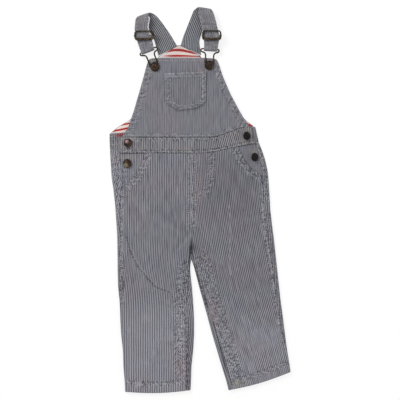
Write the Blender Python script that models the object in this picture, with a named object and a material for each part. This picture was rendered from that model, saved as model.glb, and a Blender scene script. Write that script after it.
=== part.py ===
# Toddler's bib overall, laid flat on its back with the front up.
# Frame of the garment: millimetres, X across (left and right as seen from the
# front), Y up the garment from the lowest hem point, Z up from the table.
# At the end everything is carried to the middle of its own box, in metres.

from collections import namedtuple
from math import acos, cos, exp, pi, radians, sin

import bmesh
import bpy
import numpy as np
from mathutils import Matrix, Vector

MM = 0.001

# Cloth
CLOTH = 1.2              # denim wall
BAND = 2.0               # waistband, two layers pressed together
JERSEY = 1.0             # lining wall
STRAP = 2.2              # strap, a sewn tube pressed flat
GAP = 0.3                # clearance between neighbouring pieces

# Heights of the middle of each wall over the table
BACK_MID = CLOTH / 2
LINING_MID = CLOTH + GAP + JERSEY / 2
FRONT_MID = 4.8          # front of the legs
HIP_MID = 4.2            # hip panels, on the back's lap
BIB_LOW_MID = 5.4        # front bib at the waistband
BIB_TOP_MID = 3.9        # front bib at its top edge
BAND_END_MID = 5.7       # front waistband over the back one's lap
BAND_ROLL = 1.2          # radius of the back waistband's turned ends
BIB_BOTTOM = 410.0
BIB_TOP = 536.0

# How far pieces lap at the hips, and how a front's edge settles
HIP_LAP = 12.0           # back lapped under the side opening
POCKET_LAP = 14.0        # hip panel carried in under the pocket mouth
HIP_PANEL_LENGTH = 54.0
SEAM_PLATEAU = 15.0      # how far a front's edge keeps its own height
SEAM_BLEND = 25.0        # and over what width it comes back to FRONT_MID
FLAT_TAIL = 5.0          # last stretch of a back that ends flat at the centre
FOLD_FADE = 14.0         # soft folds die out this near to a leg's edges
ROLL_STEPS = 4           # flats round a turned edge
EDGE_STEP = 2.0          # first columns of a front inside its edge
FRONT_COLUMNS = 8
BACK_COLUMNS = 4
MITRE_LIMIT = 0.5

# The front waistband's edges: level at the left, rising to the right hip
LOW_SEAM_Y = 384.8
LOW_SEAM_RISE = 16.0
LOW_SEAM_FROM = 0.0
LOW_SEAM_TO = 100.0
TOP_SEAM_Y = BIB_BOTTOM
TOP_SEAM_RISE = 17.0
TOP_SEAM_FROM = 15.0
TOP_SEAM_TO = 80.0

# Hardware
WIRE = 0.95              # radius of the hook's wire
SLIDER_WIRE = 1.1
SLIDER_BAR = 1.5
BUTTON_RADIUS = 6.9
SHANK_RADIUS = 1.9
ROUND_STEPS = 20

# Finishes: colour, roughness, metallic
DENIM_FINISH = ((0.18, 0.18, 0.21, 1.0), 0.9, 0.0)
JERSEY_FINISH = ((0.80, 0.62, 0.58, 1.0), 0.9, 0.0)
BRONZE_FINISH = ((0.06, 0.05, 0.04, 1.0), 0.45, 0.9)

# One row for each section across a leg, from the waist down.
# outer and inner are the silhouette points in X and Y, roll the radius of the
# turned edge, side the inset of the side seam or opening, mouth the inset of
# the front's edge (the pocket mouth where it is more than side), edge the
# height of that edge, lap how far the back runs on under the side opening,
# inseam the inset of the inner seam, join how far the inner edge has closed.
Leg = namedtuple("Leg", "down outer_x outer_y inner_x inner_y roll side mouth edge lap inseam join")

LEFT_LEG = [Leg(*row) for row in (
    (0, -143.0, 384.8, -13.6, 384.8, 1.05, 15.0, 56.0, 5.7, 12, 4, 0),
    (20, -141.4, 364.0, -13.6, 364.8, 1.05, 15.0, 47.0, 5.7, 12, 4, 0),
    (38, -140.4, 346.5, -13.6, 346.8, 1.05, 14.8, 34.6, 5.7, 12, 4, 0),
    (57, -137.6, 328.0, -13.6, 328.0, 1.05, 13.2, 13.2, 5.7, 0, 4, 0),
    (72, -135.9, 313.0, -13.6, 313.0, 1.7, 9.0, 9.0, 4.0, 0, 4, 0),
    (87, -134.5, 299.0, -13.6, 299.0, 1.95, 6.6, 6.6, 4.5, 0, 4, 0),
    (112, -132.7, 273.6, -13.7, 273.6, 2.1, 5.0, 5.0, 4.8, 0, 4, 0),
    (134, -131.4, 251.0, -14.0, 251.0, 2.1, 4.2, 4.2, 4.8, 0, 4, 0),
    (150, -131.0, 235.0, -14.2, 235.0, 2.1, 4.0, 4.0, 4.8, 0, 4, 0.25),
    (166, -130.9, 219.0, -14.7, 219.0, 2.1, 3.7, 3.7, 4.8, 0, 4, 0.55),
    (188, -130.7, 197.0, -15.4, 197.0, 2.1, 3.2, 3.2, 4.8, 0, 5, 1),
    (214, -129.9, 171.0, -12.6, 171.0, 2.1, 2.2, 2.2, 4.8, 0, 7, 1),
    (240, -127.2, 145.6, -10.8, 145.6, 2.1, 0.8, 0.8, 4.8, 0, 9, 1),
    (266, -126.4, 120.0, -9.4, 120.0, 2.1, 0.0, 0.0, 4.8, 0, 10, 1),
    (291, -125.0, 94.4, -9.4, 94.4, 2.1, 0.0, 0.0, 4.8, 0, 10, 1),
    (317, -122.0, 68.8, -10.8, 68.8, 2.1, 0.0, 0.0, 4.8, 0, 9, 1),
    (343, -121.4, 43.2, -13.4, 43.2, 2.1, 0.0, 0.0, 4.8, 0, 7, 1),
    (368, -119.0, 17.6, -14.0, 17.6, 2.1, 0.0, 0.0, 4.8, 0, 6, 1),
    (381, -118.6, 3.4, -14.8, 6.0, 2.1, 0.0, 0.0, 4.8, 0, 6, 1),
)]

RIGHT_LEG = [Leg(*row) for row in (
    (0, 94.2, 401.6, -13.6, 384.8, 1.05, 6.0, 34.4, 5.7, 12, 4, 0),
    (20, 101.0, 385.0, -13.6, 366.8, 1.05, 7.0, 33.0, 5.7, 12, 4, 0),
    (38, 106.2, 367.0, -13.6, 349.0, 1.05, 8.0, 26.0, 5.7, 12, 4, 0),
    (57, 109.4, 348.0, -13.6, 330.0, 1.05, 8.8, 8.8, 5.7, 0, 4, 0),
    (72, 110.4, 333.0, -13.6, 315.0, 1.7, 9.0, 9.0, 4.0, 0, 4, 0),
    (87, 111.4, 319.0, -13.6, 300.0, 1.95, 9.0, 9.0, 4.5, 0, 4, 0),
    (112, 112.6, 295.0, -13.5, 276.0, 2.1, 9.0, 9.0, 4.8, 0, 4, 0),
    (134, 115.6, 270.0, -13.2, 253.0, 2.1, 9.0, 9.0, 4.8, 0, 4, 0),
    (150, 118.0, 252.0, -13.0, 237.0, 2.1, 8.6, 8.6, 4.8, 0, 4, 0.25),
    (166, 120.2, 232.0, -13.4, 219.0, 2.1, 8.0, 8.0, 4.8, 0, 4, 0.55),
    (188, 122.6, 210.0, -6.8, 196.0, 2.1, 6.6, 6.6, 4.8, 0, 5, 1),
    (214, 125.4, 184.0, 1.2, 165.0, 2.1, 6.4, 6.4, 4.8, 0, 5, 1),
    (240, 128.6, 154.0, 10.8, 131.0, 2.1, 6.4, 6.4, 4.8, 0, 5, 1),
    (266, 132.8, 123.0, 19.8, 97.6, 2.1, 5.0, 5.0, 4.8, 0, 5, 1),
    (286, 136.2, 96.0, 27.4, 72.0, 2.1, 3.4, 3.4, 4.8, 0, 5, 1),
    (308, 139.2, 72.0, 35.0, 46.4, 2.1, 1.2, 1.2, 4.8, 0, 5, 1),
    (332, 143.2, 48.0, 43.0, 20.8, 2.1, 0.0, 0.0, 4.8, 0, 5, 1),
    (346, 145.0, 35.0, 46.6, 6.0, 2.1, 0.0, 0.0, 4.8, 0, 5, 1),
)]
HEM_SAG = 3.2            # the hems' middle hangs below their corners
HIP_STATIONS = [0, 10, 20, 30, 38, 46]   # closer sections round the pocket mouth

# Soft folds of the front: a ridge (height over 0) or trough along a line
Fold = namedtuple("Fold", "x1 y1 x2 y2 width height")
FOLDS = [Fold(*row) for row in (
    (-116, 243, -100, 203, 9, -1.3),     # left knee crease, upper run
    (-100, 203, -46, 160, 10, -1.5),     # and on across the knee
    (-88, 222, -38, 186, 12, 0.9),       # swell above it
    (-20, 268, -40, 232, 8, -1.0),       # left of the crotch
    (-2, 262, 22, 214, 9, -1.2),         # right of the crotch
    (46, 316, 47, 228, 7, 0.9),          # press crease of the right thigh
    (60, 190, 96, 60, 10, 0.9),          # and of the right shin
    (96, 318, 92, 250, 9, -0.9),
    (-112, 150, -70, 128, 10, -0.8),
    (-60, 118, -54, 30, 10, 0.8),        # press crease of the left shin
)]

# Sheets: a row for each line across a piece, from its left to its right point
Line = namedtuple("Line", "left_x left_y right_x right_y")

FRONT_BIB = [Line(*row) for row in (
    (-77.0, 536.0, 22.0, 536.0),
    (-82.0, 533.6, 27.6, 534.0),
    (-84.2, 527.0, 30.6, 528.0),
    (-90.0, 505.0, 37.0, 508.0),
    (-97.4, 479.0, 49.0, 480.0),
    (-104.8, 453.0, 64.0, 452.0),
    (-110.0, 438.0, 71.0, 440.0),
    (-113.6, 426.0, 75.6, 432.0),
    (-124.6, 410.0, 80.6, 424.0),
)]

BACK_BIB = [Line(*row) for row in (
    (-36.0, 555.9, -30.4, 556.5),
    (-52.6, 547.4, -10.0, 547.1),
    (-65.4, 540.6, 1.2, 541.6),
    (-72.0, 525.0, 8.0, 526.0),
    (-88.0, 480.0, 38.0, 480.0),
    (-104.0, 447.0, 63.0, 450.0),
    (-113.0, 437.0, 74.0, 437.4),
    (-130.0, 427.6, 80.8, 432.6),
    (-143.0, 416.8, 87.6, 427.4),
)]
LINING_INSET = 1.2

BIB_POCKET = [Line(*row) for row in (
    (-57.0, 512.8, 10.6, 515.8),
    (-56.0, 490.0, 10.6, 492.0),
    (-54.2, 466.0, 10.4, 469.0),
    (-44.0, 459.6, 4.0, 462.4),
    (-34.0, 453.6, -5.0, 457.0),
)]

# Waistbands: the turned ends of the back one show beside the front one
BACK_BAND = [Line(*row) for row in (
    (-143.2, 416.4, 88.2, 427.0),
    (-143.2, 404.0, 91.0, 414.6),
    (-142.6, 391.4, 93.8, 402.4),
)]
BACK_BAND_SHOWN_LEFT = 15.0
BACK_BAND_SHOWN_RIGHT = 6.0
FRONT_BAND_LEFT = -127.6
FRONT_BAND_TOP_RIGHT = 82.4
FRONT_BAND_LOW_RIGHT = 88.0
BAND_COLUMNS = 16

# Straps: a row for each line across, from the back bib to the slider.
# lean is the line's angle from X in degrees; a row marked fold starts a turn
# over to the next row, towards the direction out.
Cross = namedtuple("Cross", "x y z lean width fold")

LEFT_STRAP = [Cross(*row) for row in (
    (-50.9, 548.9, 1.1, 27.0, 34.0, ""),
    (-60.6, 571.6, 1.1, 32.0, 27.0, ""),
    (-69.4, 586.0, 1.1, 32.0, 24.5, ""),
    (-78.4, 597.4, 1.1, 27.0, 24.6, "top"),
    (-90.6, 596.4, 11.1, 14.0, 24.6, ""),
    (-92.6, 584.0, 11.0, 8.0, 22.6, ""),
    (-89.6, 571.2, 10.5, 12.0, 23.0, ""),
    (-86.4, 560.0, 10.1, 13.0, 23.4, ""),
    (-83.0, 548.6, 9.9, 21.0, 21.6, "bar"),
    (-83.0, 548.6, 4.9, 21.0, 21.6, ""),
    (-86.6, 560.0, 5.0, 13.0, 22.6, ""),
    (-89.4, 570.0, 5.3, 12.0, 22.6, ""),
)]

RIGHT_STRAP = [Cross(*row) for row in (
    (-14.0, 549.6, 1.1, -25.0, 36.2, ""),
    (-13.4, 567.6, 1.1, -21.0, 27.0, ""),
    (-6.2, 588.8, 1.1, -20.0, 24.4, ""),
    (2.0, 609.4, 1.1, -15.0, 24.6, "top"),
    (9.6, 609.0, 11.1, -4.0, 25.0, ""),
    (13.2, 597.0, 11.0, 0.0, 24.8, ""),
    (15.8, 584.0, 10.7, 2.0, 24.0, ""),
    (18.4, 571.2, 10.3, 1.0, 23.6, ""),
    (18.8, 560.0, 10.1, 0.0, 23.2, ""),
    (17.8, 549.4, 9.9, -3.0, 21.8, "bar"),
    (17.8, 549.4, 4.9, -3.0, 21.8, ""),
    (18.6, 560.0, 5.0, 0.0, 22.6, ""),
    (18.4, 570.0, 5.3, 1.0, 22.6, ""),
)]
STRAP_FOLD_STEPS = 7
STRAP_TOP_REACH = 1.35    # how much longer than round the turn at the top is
STRAP_TOP_NARROW = 0.26   # and how much its outermost line draws in
STRAP_COLUMNS = 4
STRAP_STEP = 9.0

# Hardware places: the hook's bar, the button it holds, the slider's middle
Brace = namedtuple("Brace", "side bar_x bar_y bar_lean button_x button_y "
                            "slider_x slider_y slider_lean front_z")
BRACES = [Brace(*row) for row in (
    ("left", -83.0, 548.6, 21.0, -71.6, 523.4, -89.2, 571.2, 12.0, 10.5),
    ("right", 17.8, 549.4, -3.0, 16.2, 525.6, 18.4, 571.2, 1.0, 10.3),
)]
HOOK_BAR_Z = 7.4
HOOK_EAR = 13.4          # half the bar's length
HOOK_NECK = 6.3          # half the width of the long loop
HOOK_BELOW = 7.4         # how far the loop reaches below its button
SLIDER_HALF_LENGTH = 14.3
SLIDER_HALF_WIDTH = 6.2
SLIDER_CORNER = 3.6
SLIDER_CLEAR = 0.35      # between the strap and the slider's wires
SLIDER_BEND = 1.5        # radius of the middle bar's turned ends
WIRE_SIDES = 8

Stud = namedtuple("Stud", "name x y seat tilt lift")
SIDE_STUDS = [Stud(*row) for row in (
    ("left_waist_button", -114.3, 401.0, "band", 0.0, 0.0),
    ("left_hip_button", -115.4, 368.4, "hip", 0.0, 0.0),
    ("right_waist_button", 74.9, 412.0, "band", 30.0, 2.6),
    ("right_hip_button", 87.7, 378.2, "hip", 30.0, 2.6),
)]
BIB_STUD_LIFT = 1.4      # the hook's wire passes under the cap


def smoothstep(t):
    t = min(max(t, 0.0), 1.0)
    return t * t * (3.0 - 2.0 * t)


def rise_between(value, low, high):
    return smoothstep((value - low) / (high - low))


def mix(a, b, t):
    return a + (b - a) * t


def turned(angle):
    return Vector((cos(angle), sin(angle), 0.0))


def fold_height(x, y):
    """Height that the soft folds add to the front at a point."""
    total = 0.0
    for fold in FOLDS:
        run = Vector((fold.x2 - fold.x1, fold.y2 - fold.y1))
        arm = Vector((x - fold.x1, y - fold.y1))
        along = min(max(arm.dot(run) / run.length_squared, 0.0), 1.0)
        away = (arm - run * along).length / fold.width
        total += fold.height * exp(-away * away)
    return total


def front_low_seam(x):
    """Seam between the front waistband and the legs."""
    return LOW_SEAM_Y + LOW_SEAM_RISE * rise_between(x, LOW_SEAM_FROM, LOW_SEAM_TO)


def front_top_seam(x):
    """Seam between the front waistband and the bib."""
    return TOP_SEAM_Y + TOP_SEAM_RISE * rise_between(x, TOP_SEAM_FROM, TOP_SEAM_TO)


def back_low_seam(x):
    """Seam between the back waistband and the legs."""
    edge = BACK_BAND[-1]
    share = (x - edge.left_x) / (edge.right_x - edge.left_x)
    return mix(edge.left_y, edge.right_y, share)


def material(name, colour, roughness, metallic):
    made = bpy.data.materials.new(name)
    made.use_nodes = True
    shader = made.node_tree.nodes["Principled BSDF"]
    shader.inputs["Base Color"].default_value = colour
    shader.inputs["Roughness"].default_value = roughness
    shader.inputs["Metallic"].default_value = metallic
    return made


def add_object(name, mesh, finish):
    """Put a mesh, made in millimetres, into the scene as a named piece."""
    mesh.transform(Matrix.Scale(MM, 4))
    look = material(name, *finish)
    mesh.materials.append(look)
    piece = bpy.data.objects.new(name, mesh)
    bpy.context.collection.objects.link(piece)
    return piece


def mesh_from(name, points, faces):
    """A closed mesh whose faces all point out."""
    mesh = bpy.data.meshes.new(name)
    mesh.from_pydata([tuple(point) for point in points], [], faces)
    work = bmesh.new()
    work.from_mesh(mesh)
    bmesh.ops.recalc_face_normals(work, faces=work.faces)
    work.to_mesh(mesh)
    work.free()
    return mesh


def wall_mesh(name, upper, lower):
    """Close two matching grids of points, one each side of a wall."""
    rows = len(upper)
    columns = len(upper[0])
    points = [point for row in upper for point in row]
    points += [point for row in lower for point in row]
    half = rows * columns
    faces = []
    for r in range(rows - 1):
        for c in range(columns - 1):
            a = r * columns + c
            quad = (a, a + 1, a + columns + 1, a + columns)
            faces.append(quad)
            faces.append(tuple(half + i for i in reversed(quad)))
    border = [c for c in range(columns)]
    border += [r * columns + columns - 1 for r in range(1, rows)]
    border += [(rows - 1) * columns + c for c in range(columns - 2, -1, -1)]
    border += [r * columns for r in range(rows - 2, 0, -1)]
    for a, b in zip(border, border[1:] + border[:1]):
        faces.append((b, a, half + a, half + b))
    return mesh_from(name, points, faces)


def offset_path(path, distance):
    """Move a path of (inset, height) points sideways, mitred at its bends."""
    moved = []
    for i, (a, z) in enumerate(path):
        before = path[max(i - 1, 0)]
        after = path[min(i + 1, len(path) - 1)]
        first = Vector((a - before[0], z - before[1]))
        second = Vector((after[0] - a, after[1] - z))
        if first.length == 0:
            first = second
        if second.length == 0:
            second = first
        first.normalize()
        second.normalize()
        middle = (first + second).normalized()
        reach = distance / max(middle.dot(first), MITRE_LIMIT)
        moved.append((a - middle.y * reach, z + middle.x * reach))
    return moved


def smooth_rows(table, stations):
    """Read a table of sections at more stations, on smooth curves."""
    keys = [row[0] for row in table]
    values = np.array([row[1:] for row in table], dtype=float)
    slopes = np.gradient(values, keys, axis=0)
    made = []
    for station in stations:
        i = min(max(int(np.searchsorted(keys, station)) - 1, 0), len(keys) - 2)
        span = keys[i + 1] - keys[i]
        t = (station - keys[i]) / span
        h00 = 2 * t**3 - 3 * t**2 + 1
        h10 = t**3 - 2 * t**2 + t
        h01 = -2 * t**3 + 3 * t**2
        h11 = t**3 - t**2
        curve = h00 * values[i] + h10 * span * slopes[i]
        curve = curve + h01 * values[i + 1] + h11 * span * slopes[i + 1]
        straight = mix(values[i], values[i + 1], t)
        # the places follow the curve, the seam values the straight run
        made.append(type(table[0])(station, *curve[:4], *straight[4:]))
    return made


def seam_travel(inset, roll):
    """Distance round a turned edge from its outermost line to an inset."""
    if inset >= roll:
        return roll * pi / 2 + inset - roll
    return roll * acos(1.0 - inset / roll)


def edge_point(travel, roll):
    """Inset and height at a distance round a turned edge, under it below 0."""
    quarter = roll * pi / 2
    size = abs(travel)
    if size > quarter:
        inset = roll + size - quarter
        height = 2 * roll if travel > 0 else 0.0
        return inset, height
    return roll * (1.0 - cos(travel / roll)), roll * (1.0 + sin(travel / roll))


class Section:
    """One line across a leg, from its outer to its inner edge."""

    def __init__(self, row, is_hem):
        self.row = row
        self.outer = Vector((row.outer_x, row.outer_y, 0.0))
        inner = Vector((row.inner_x, row.inner_y, 0.0))
        self.width = (inner - self.outer).length
        self.across = (inner - self.outer).normalized()
        self.sag = HEM_SAG if is_hem else 0.0

    def place(self, inset, height, middle, seam):
        """A point in the garment's frame; a first row follows its seam."""
        spot = self.outer + self.across * inset
        share = min(max(inset / self.width, 0.0), 1.0)
        spot.y -= self.sag * sin(pi * share)
        if seam:
            spot.y = seam(spot.x) - GAP
        top = BACK_MID + 2 * self.row.roll
        weight = min(max((middle - BACK_MID) / (top - BACK_MID), 0.0), 1.0)
        edge_fade = smoothstep(inset / FOLD_FADE)
        edge_fade *= smoothstep((self.width - inset) / FOLD_FADE)
        height += fold_height(spot.x, spot.y) * weight**2 * edge_fade
        return Vector((spot.x, spot.y, height))

    def back_path(self):
        """From the side seam round under the leg to the inner seam."""
        row = self.row
        quarter = row.roll * pi / 2
        start = seam_travel(row.side, row.roll) + row.lap - GAP / 2
        if start > quarter:
            travels = [start, mix(start, quarter, 0.5)]
            travels += [mix(quarter, -quarter, k / ROLL_STEPS) for k in range(ROLL_STEPS + 1)]
        else:
            steps = ROLL_STEPS + 2
            travels = [mix(start, -quarter, k / steps) for k in range(steps + 1)]
        path = [edge_point(travel, row.roll) for travel in travels]
        closed = seam_travel(row.inseam, row.roll) - GAP / 2
        turn = row.join * (quarter + closed)
        flat_end = self.width - row.roll * sin(min(turn / row.roll, pi / 2))
        if row.join == 0:
            turn = FLAT_TAIL
            flat_end = self.width - GAP / 2 - turn
        first = path[-1][0]
        for k in range(1, BACK_COLUMNS + 1):
            path.append((mix(first, flat_end, k / BACK_COLUMNS), 0.0))
        steps = ROLL_STEPS + 1
        path += [self.inner_point(flat_end, turn * k / steps) for k in range(1, steps + 1)]
        return [(a, BACK_MID + z) for a, z in path]

    def inner_point(self, flat_end, done):
        """A point a distance past the end of the flat underside."""
        roll = self.row.roll
        if self.row.join == 0:
            return flat_end + done, 0.0
        angle = done / roll
        if angle <= pi:
            return flat_end + roll * sin(angle), roll * (1.0 - cos(angle))
        return flat_end - (done - roll * pi), 2 * roll

    def front_path(self):
        """From the side seam or pocket mouth over the top to the inner seam."""
        row = self.row
        quarter = row.roll * pi / 2
        begin = row.mouth
        start = seam_travel(begin, row.roll) + GAP / 2
        end = self.width - row.join * row.inseam - GAP / 2
        path = []
        if start < quarter:
            for k in range(3):
                inset, height = edge_point(mix(start, quarter, k / 3), row.roll)
                path.append((inset, BACK_MID + height))
            first = row.roll
        else:
            first = edge_point(start, row.roll)[0]
            for k in range(3):
                inside = EDGE_STEP * k
                path.append((first + inside, self.front_height(inside)))
            first += EDGE_STEP * 3
        for k in range(FRONT_COLUMNS + 1):
            inset = mix(first, end, k / FRONT_COLUMNS)
            path.append((inset, self.front_height(inset - begin)))
        return path

    def front_height(self, inside):
        """Middle of the front's wall at a distance inside its edge."""
        settled = rise_between(inside, SEAM_PLATEAU, SEAM_PLATEAU + SEAM_BLEND)
        return mix(self.row.edge, FRONT_MID, settled)

    def hip_path(self):
        """Hip panel from the side opening to under the pocket mouth."""
        first = self.row.side
        last = self.row.mouth + POCKET_LAP
        return [(mix(first, last, k / BACK_COLUMNS), HIP_MID) for k in range(BACK_COLUMNS + 1)]


def loft_wall(name, sections, paths, seam):
    """Denim through the sections; its first row lies along a seam."""
    upper = []
    lower = []
    for index, (section, path) in enumerate(zip(sections, paths)):
        line = seam if index == 0 else None
        over = offset_path(path, CLOTH / 2)
        under = offset_path(path, -CLOTH / 2)
        for grid, side in ((upper, over), (lower, under)):
            grid.append([section.place(a, z, mid, line) for (a, z), (_, mid) in zip(side, path)])
    add_object(name, wall_mesh(name, upper, lower), DENIM_FINISH)


def leg_sections(table, stations):
    rows = smooth_rows(table, stations)
    return [Section(row, row.down == table[-1].down) for row in rows]


def build_leg(side, table):
    """Back, front and hip panel of one leg, from the same sections."""
    stations = sorted(set(HIP_STATIONS + [row.down for row in table]))
    sections = leg_sections(table, stations)
    back = [section.back_path() for section in sections]
    front = [section.front_path() for section in sections]
    loft_wall("back_%s_leg" % side, sections, back, back_low_seam)
    loft_wall("front_%s_leg" % side, sections, front, front_low_seam)
    hips = leg_sections(table, HIP_STATIONS + [HIP_PANEL_LENGTH])
    panels = [section.hip_path() for section in hips]
    loft_wall("%s_hip_panel" % side, hips, panels, front_low_seam)


def sheet_wall(name, grid, height, thickness, finish=DENIM_FINISH):
    """A flat piece over a grid of places, at a height that may vary."""
    rise = Vector((0.0, 0.0, thickness / 2))
    middle = [[Vector((p.x, p.y, height(p))) for p in row] for row in grid]
    upper = [[p + rise for p in row] for row in middle]
    lower = [[p - rise for p in row] for row in middle]
    add_object(name, wall_mesh(name, upper, lower), finish)


def even_grid(table, columns, inset=0.0):
    """Places along each line of a table, evenly spaced."""
    shares = [c / columns for c in range(columns + 1)]
    return [[left.lerp(right, share) for share in shares] for left, right in line_rows(table, inset)]


def line_rows(table, inset=0.0):
    rows = []
    for line in table:
        left = Vector((line.left_x + inset, line.left_y, 0.0))
        right = Vector((line.right_x - inset, line.right_y, 0.0))
        rows.append((left, right))
    return rows


def bib_height(point):
    rise = rise_between(point.y, BIB_BOTTOM, BIB_TOP)
    return mix(BIB_LOW_MID, BIB_TOP_MID, rise)


def pocket_height(point):
    return bib_height(point) + CLOTH + GAP


def band_stations(right_x):
    """Places along the front waistband where its edges may bend."""
    return [mix(FRONT_BAND_LEFT, right_x, c / BAND_COLUMNS) for c in range(BAND_COLUMNS + 1)]


def front_bib_grid():
    """The bib's places; its last row lies along the waistband's edge."""
    stations = band_stations(FRONT_BAND_TOP_RIGHT)
    seam = [front_top_seam(x) for x in stations]
    bottom = FRONT_BIB[-1]
    inside = [x for x in stations if bottom.left_x < x < bottom.right_x]
    places = [bottom.left_x] + inside + [bottom.right_x]
    shares = [(x - bottom.left_x) / (bottom.right_x - bottom.left_x) for x in places]
    grid = [[left.lerp(right, share) for share in shares] for left, right in line_rows(FRONT_BIB)]
    for spot in grid[-1]:
        spot.y = float(np.interp(spot.x, stations, seam)) + GAP
    return grid


def build_bibs():
    sheet_wall("front_bib", front_bib_grid(), bib_height, CLOTH)
    sheet_wall("bib_pocket", even_grid(BIB_POCKET, 5), pocket_height, CLOTH)
    sheet_wall("back_bib", even_grid(BACK_BIB, BACK_COLUMNS), lambda spot: BACK_MID, CLOTH)
    lining = even_grid(BACK_BIB, BACK_COLUMNS, LINING_INSET)
    for spot in lining[0]:
        spot.y -= LINING_INSET
    sheet_wall("back_lining", lining, lambda spot: LINING_MID, JERSEY, JERSEY_FINISH)


def band_path(width, shown_left, shown_right):
    """The back waistband's line: turned in at both ends, lapped under the front."""
    roll = BAND_ROLL
    left = seam_travel(shown_left + HIP_LAP, roll)
    right = seam_travel(shown_right + HIP_LAP, roll)
    quarter = roll * pi / 2
    turn = [mix(quarter, -quarter, k / ROLL_STEPS) for k in range(ROLL_STEPS + 1)]
    travels = [left, mix(left, quarter, 0.5)] + turn
    path = [edge_point(travel, roll) for travel in travels]
    path += [(width * k / BACK_COLUMNS, 0.0) for k in range(1, BACK_COLUMNS)]
    travels = turn[::-1]
    travels += [mix(right, quarter, 0.5), right]
    for travel in travels:
        inset, height = edge_point(travel, roll)
        path.append((width - inset, height))
    return [(a, BAND / 2 + z) for a, z in path]


def build_back_waistband():
    upper = []
    lower = []
    for left, right in line_rows(BACK_BAND):
        across = (right - left).normalized()
        width = (right - left).length
        path = band_path(width, BACK_BAND_SHOWN_LEFT, BACK_BAND_SHOWN_RIGHT)
        for grid, side in ((upper, BAND / 2), (lower, -BAND / 2)):
            moved = offset_path(path, side)
            grid.append([left + across * a + Vector((0.0, 0.0, z)) for a, z in moved])
    add_object("back_waistband", wall_mesh("back_waistband", upper, lower), DENIM_FINISH)


def build_front_waistband():
    grid = []
    for share in (0.0, 0.5, 1.0):
        right_x = mix(FRONT_BAND_TOP_RIGHT, FRONT_BAND_LOW_RIGHT, share)
        row = []
        for x in band_stations(right_x):
            y = mix(front_top_seam(x), front_low_seam(x), share)
            row.append(Vector((x, y, 0.0)))
        grid.append(row)
    sheet_wall("front_waistband", grid, lambda spot: front_band_height(spot.x), BAND)


def front_band_height(x):
    inside = min(x - FRONT_BAND_LEFT, FRONT_BAND_LOW_RIGHT - x)
    settled = rise_between(inside, SEAM_PLATEAU, SEAM_PLATEAU + SEAM_BLEND)
    return mix(BAND_END_MID, FRONT_MID, settled)


def cross_row(row):
    middle = Vector((row.x, row.y, row.z))
    reach = turned(radians(row.lean)) * row.width / 2
    return middle - reach, middle + reach


def over_fold(start, finish, out, steps, reach, narrow):
    """Lines across a half turn between two rows, one above the other."""
    made = []
    rise = abs(finish.z - start.z) / 2 * reach
    for k in range(1, steps):
        angle = pi * k / steps
        share = (1.0 - cos(angle)) / 2
        x = mix(start.x, finish.x, share) + out.x * rise * sin(angle)
        y = mix(start.y, finish.y, share) + out.y * rise * sin(angle)
        z = mix(start.z, finish.z, share)
        lean = mix(start.lean, finish.lean, share)
        width = mix(start.width, finish.width, share) * (1.0 - narrow * sin(angle))
        made.append(Cross(x, y, z, lean, width, ""))
    return made


def strap_rows(table):
    """The strap's lines across, with its two turns worked out."""
    made = []
    for row, following in zip(table, table[1:]):
        made.append(row)
        if row.fold:
            lean = radians((row.lean + following.lean) / 2)
            out = Vector((-sin(lean), cos(lean)))
            if row.fold == "bar":
                made += over_fold(row, following, -out, STRAP_FOLD_STEPS, 1.0, 0.0)
            else:
                made += over_fold(row, following, out, STRAP_FOLD_STEPS,
                                  STRAP_TOP_REACH, STRAP_TOP_NARROW)
            continue
        length = Vector((following.x - row.x, following.y - row.y)).length
        steps = max(int(length / STRAP_STEP), 1)
        for k in range(1, steps):
            share = k / steps
            values = [mix(a, b, share) for a, b in zip(row[:5], following[:5])]
            made.append(Cross(*values, ""))
    made.append(table[-1])
    return made


def build_strap(name, table):
    """A strap as a grid of its middle surface, thickened both ways."""
    grid = []
    for row in strap_rows(table):
        left, right = cross_row(row)
        grid.append([left.lerp(right, c / STRAP_COLUMNS) for c in range(STRAP_COLUMNS + 1)])
    upper = []
    lower = []
    for r, line in enumerate(grid):
        before = grid[max(r - 1, 0)]
        after = grid[min(r + 1, len(grid) - 1)]
        over = []
        under = []
        across = (line[-1] - line[0]).normalized()
        for c, spot in enumerate(line):
            if 0 < r < len(grid) - 1:
                first = (spot - before[c]).normalized()
                second = (after[c] - spot).normalized()
                along = (first + second).normalized()
                mitre = 1.0 / max(along.dot(first), 0.7)
            else:
                along = (after[c] - before[c]).normalized()
                mitre = 1.0
            normal = across.cross(along).normalized() * (STRAP / 2 * mitre)
            over.append(spot + normal)
            under.append(spot - normal)
        upper.append(over)
        lower.append(under)
    add_object(name, wall_mesh(name, upper, lower), DENIM_FINISH)


def tube_mesh(name, route, radius, closed):
    """A round wire along a list of points, closed on itself or with caps."""
    count = len(route)
    sides = WIRE_SIDES
    points = []
    up = Vector((0.0, 0.0, 1.0))
    for i, spot in enumerate(route):
        if closed:
            along = route[(i + 1) % count] - route[i - 1]
        else:
            along = route[min(i + 1, count - 1)] - route[max(i - 1, 0)]
        along.normalize()
        side = along.cross(up)
        if side.length < 0.3:
            side = along.cross(Vector((0.0, 1.0, 0.0)))
        side.normalize()
        lift = side.cross(along)
        for k in range(sides):
            angle = 2 * pi * k / sides
            points.append(spot + (side * cos(angle) + lift * sin(angle)) * radius)
    faces = []
    last = count if closed else count - 1
    for i in range(last):
        j = (i + 1) % count
        for k in range(sides):
            m = (k + 1) % sides
            faces.append((i * sides + k, i * sides + m, j * sides + m, j * sides + k))
    if not closed:
        faces.append(tuple(range(sides)))
        faces.append(tuple((count - 1) * sides + k for k in reversed(range(sides))))
    return mesh_from(name, points, faces)


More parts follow.
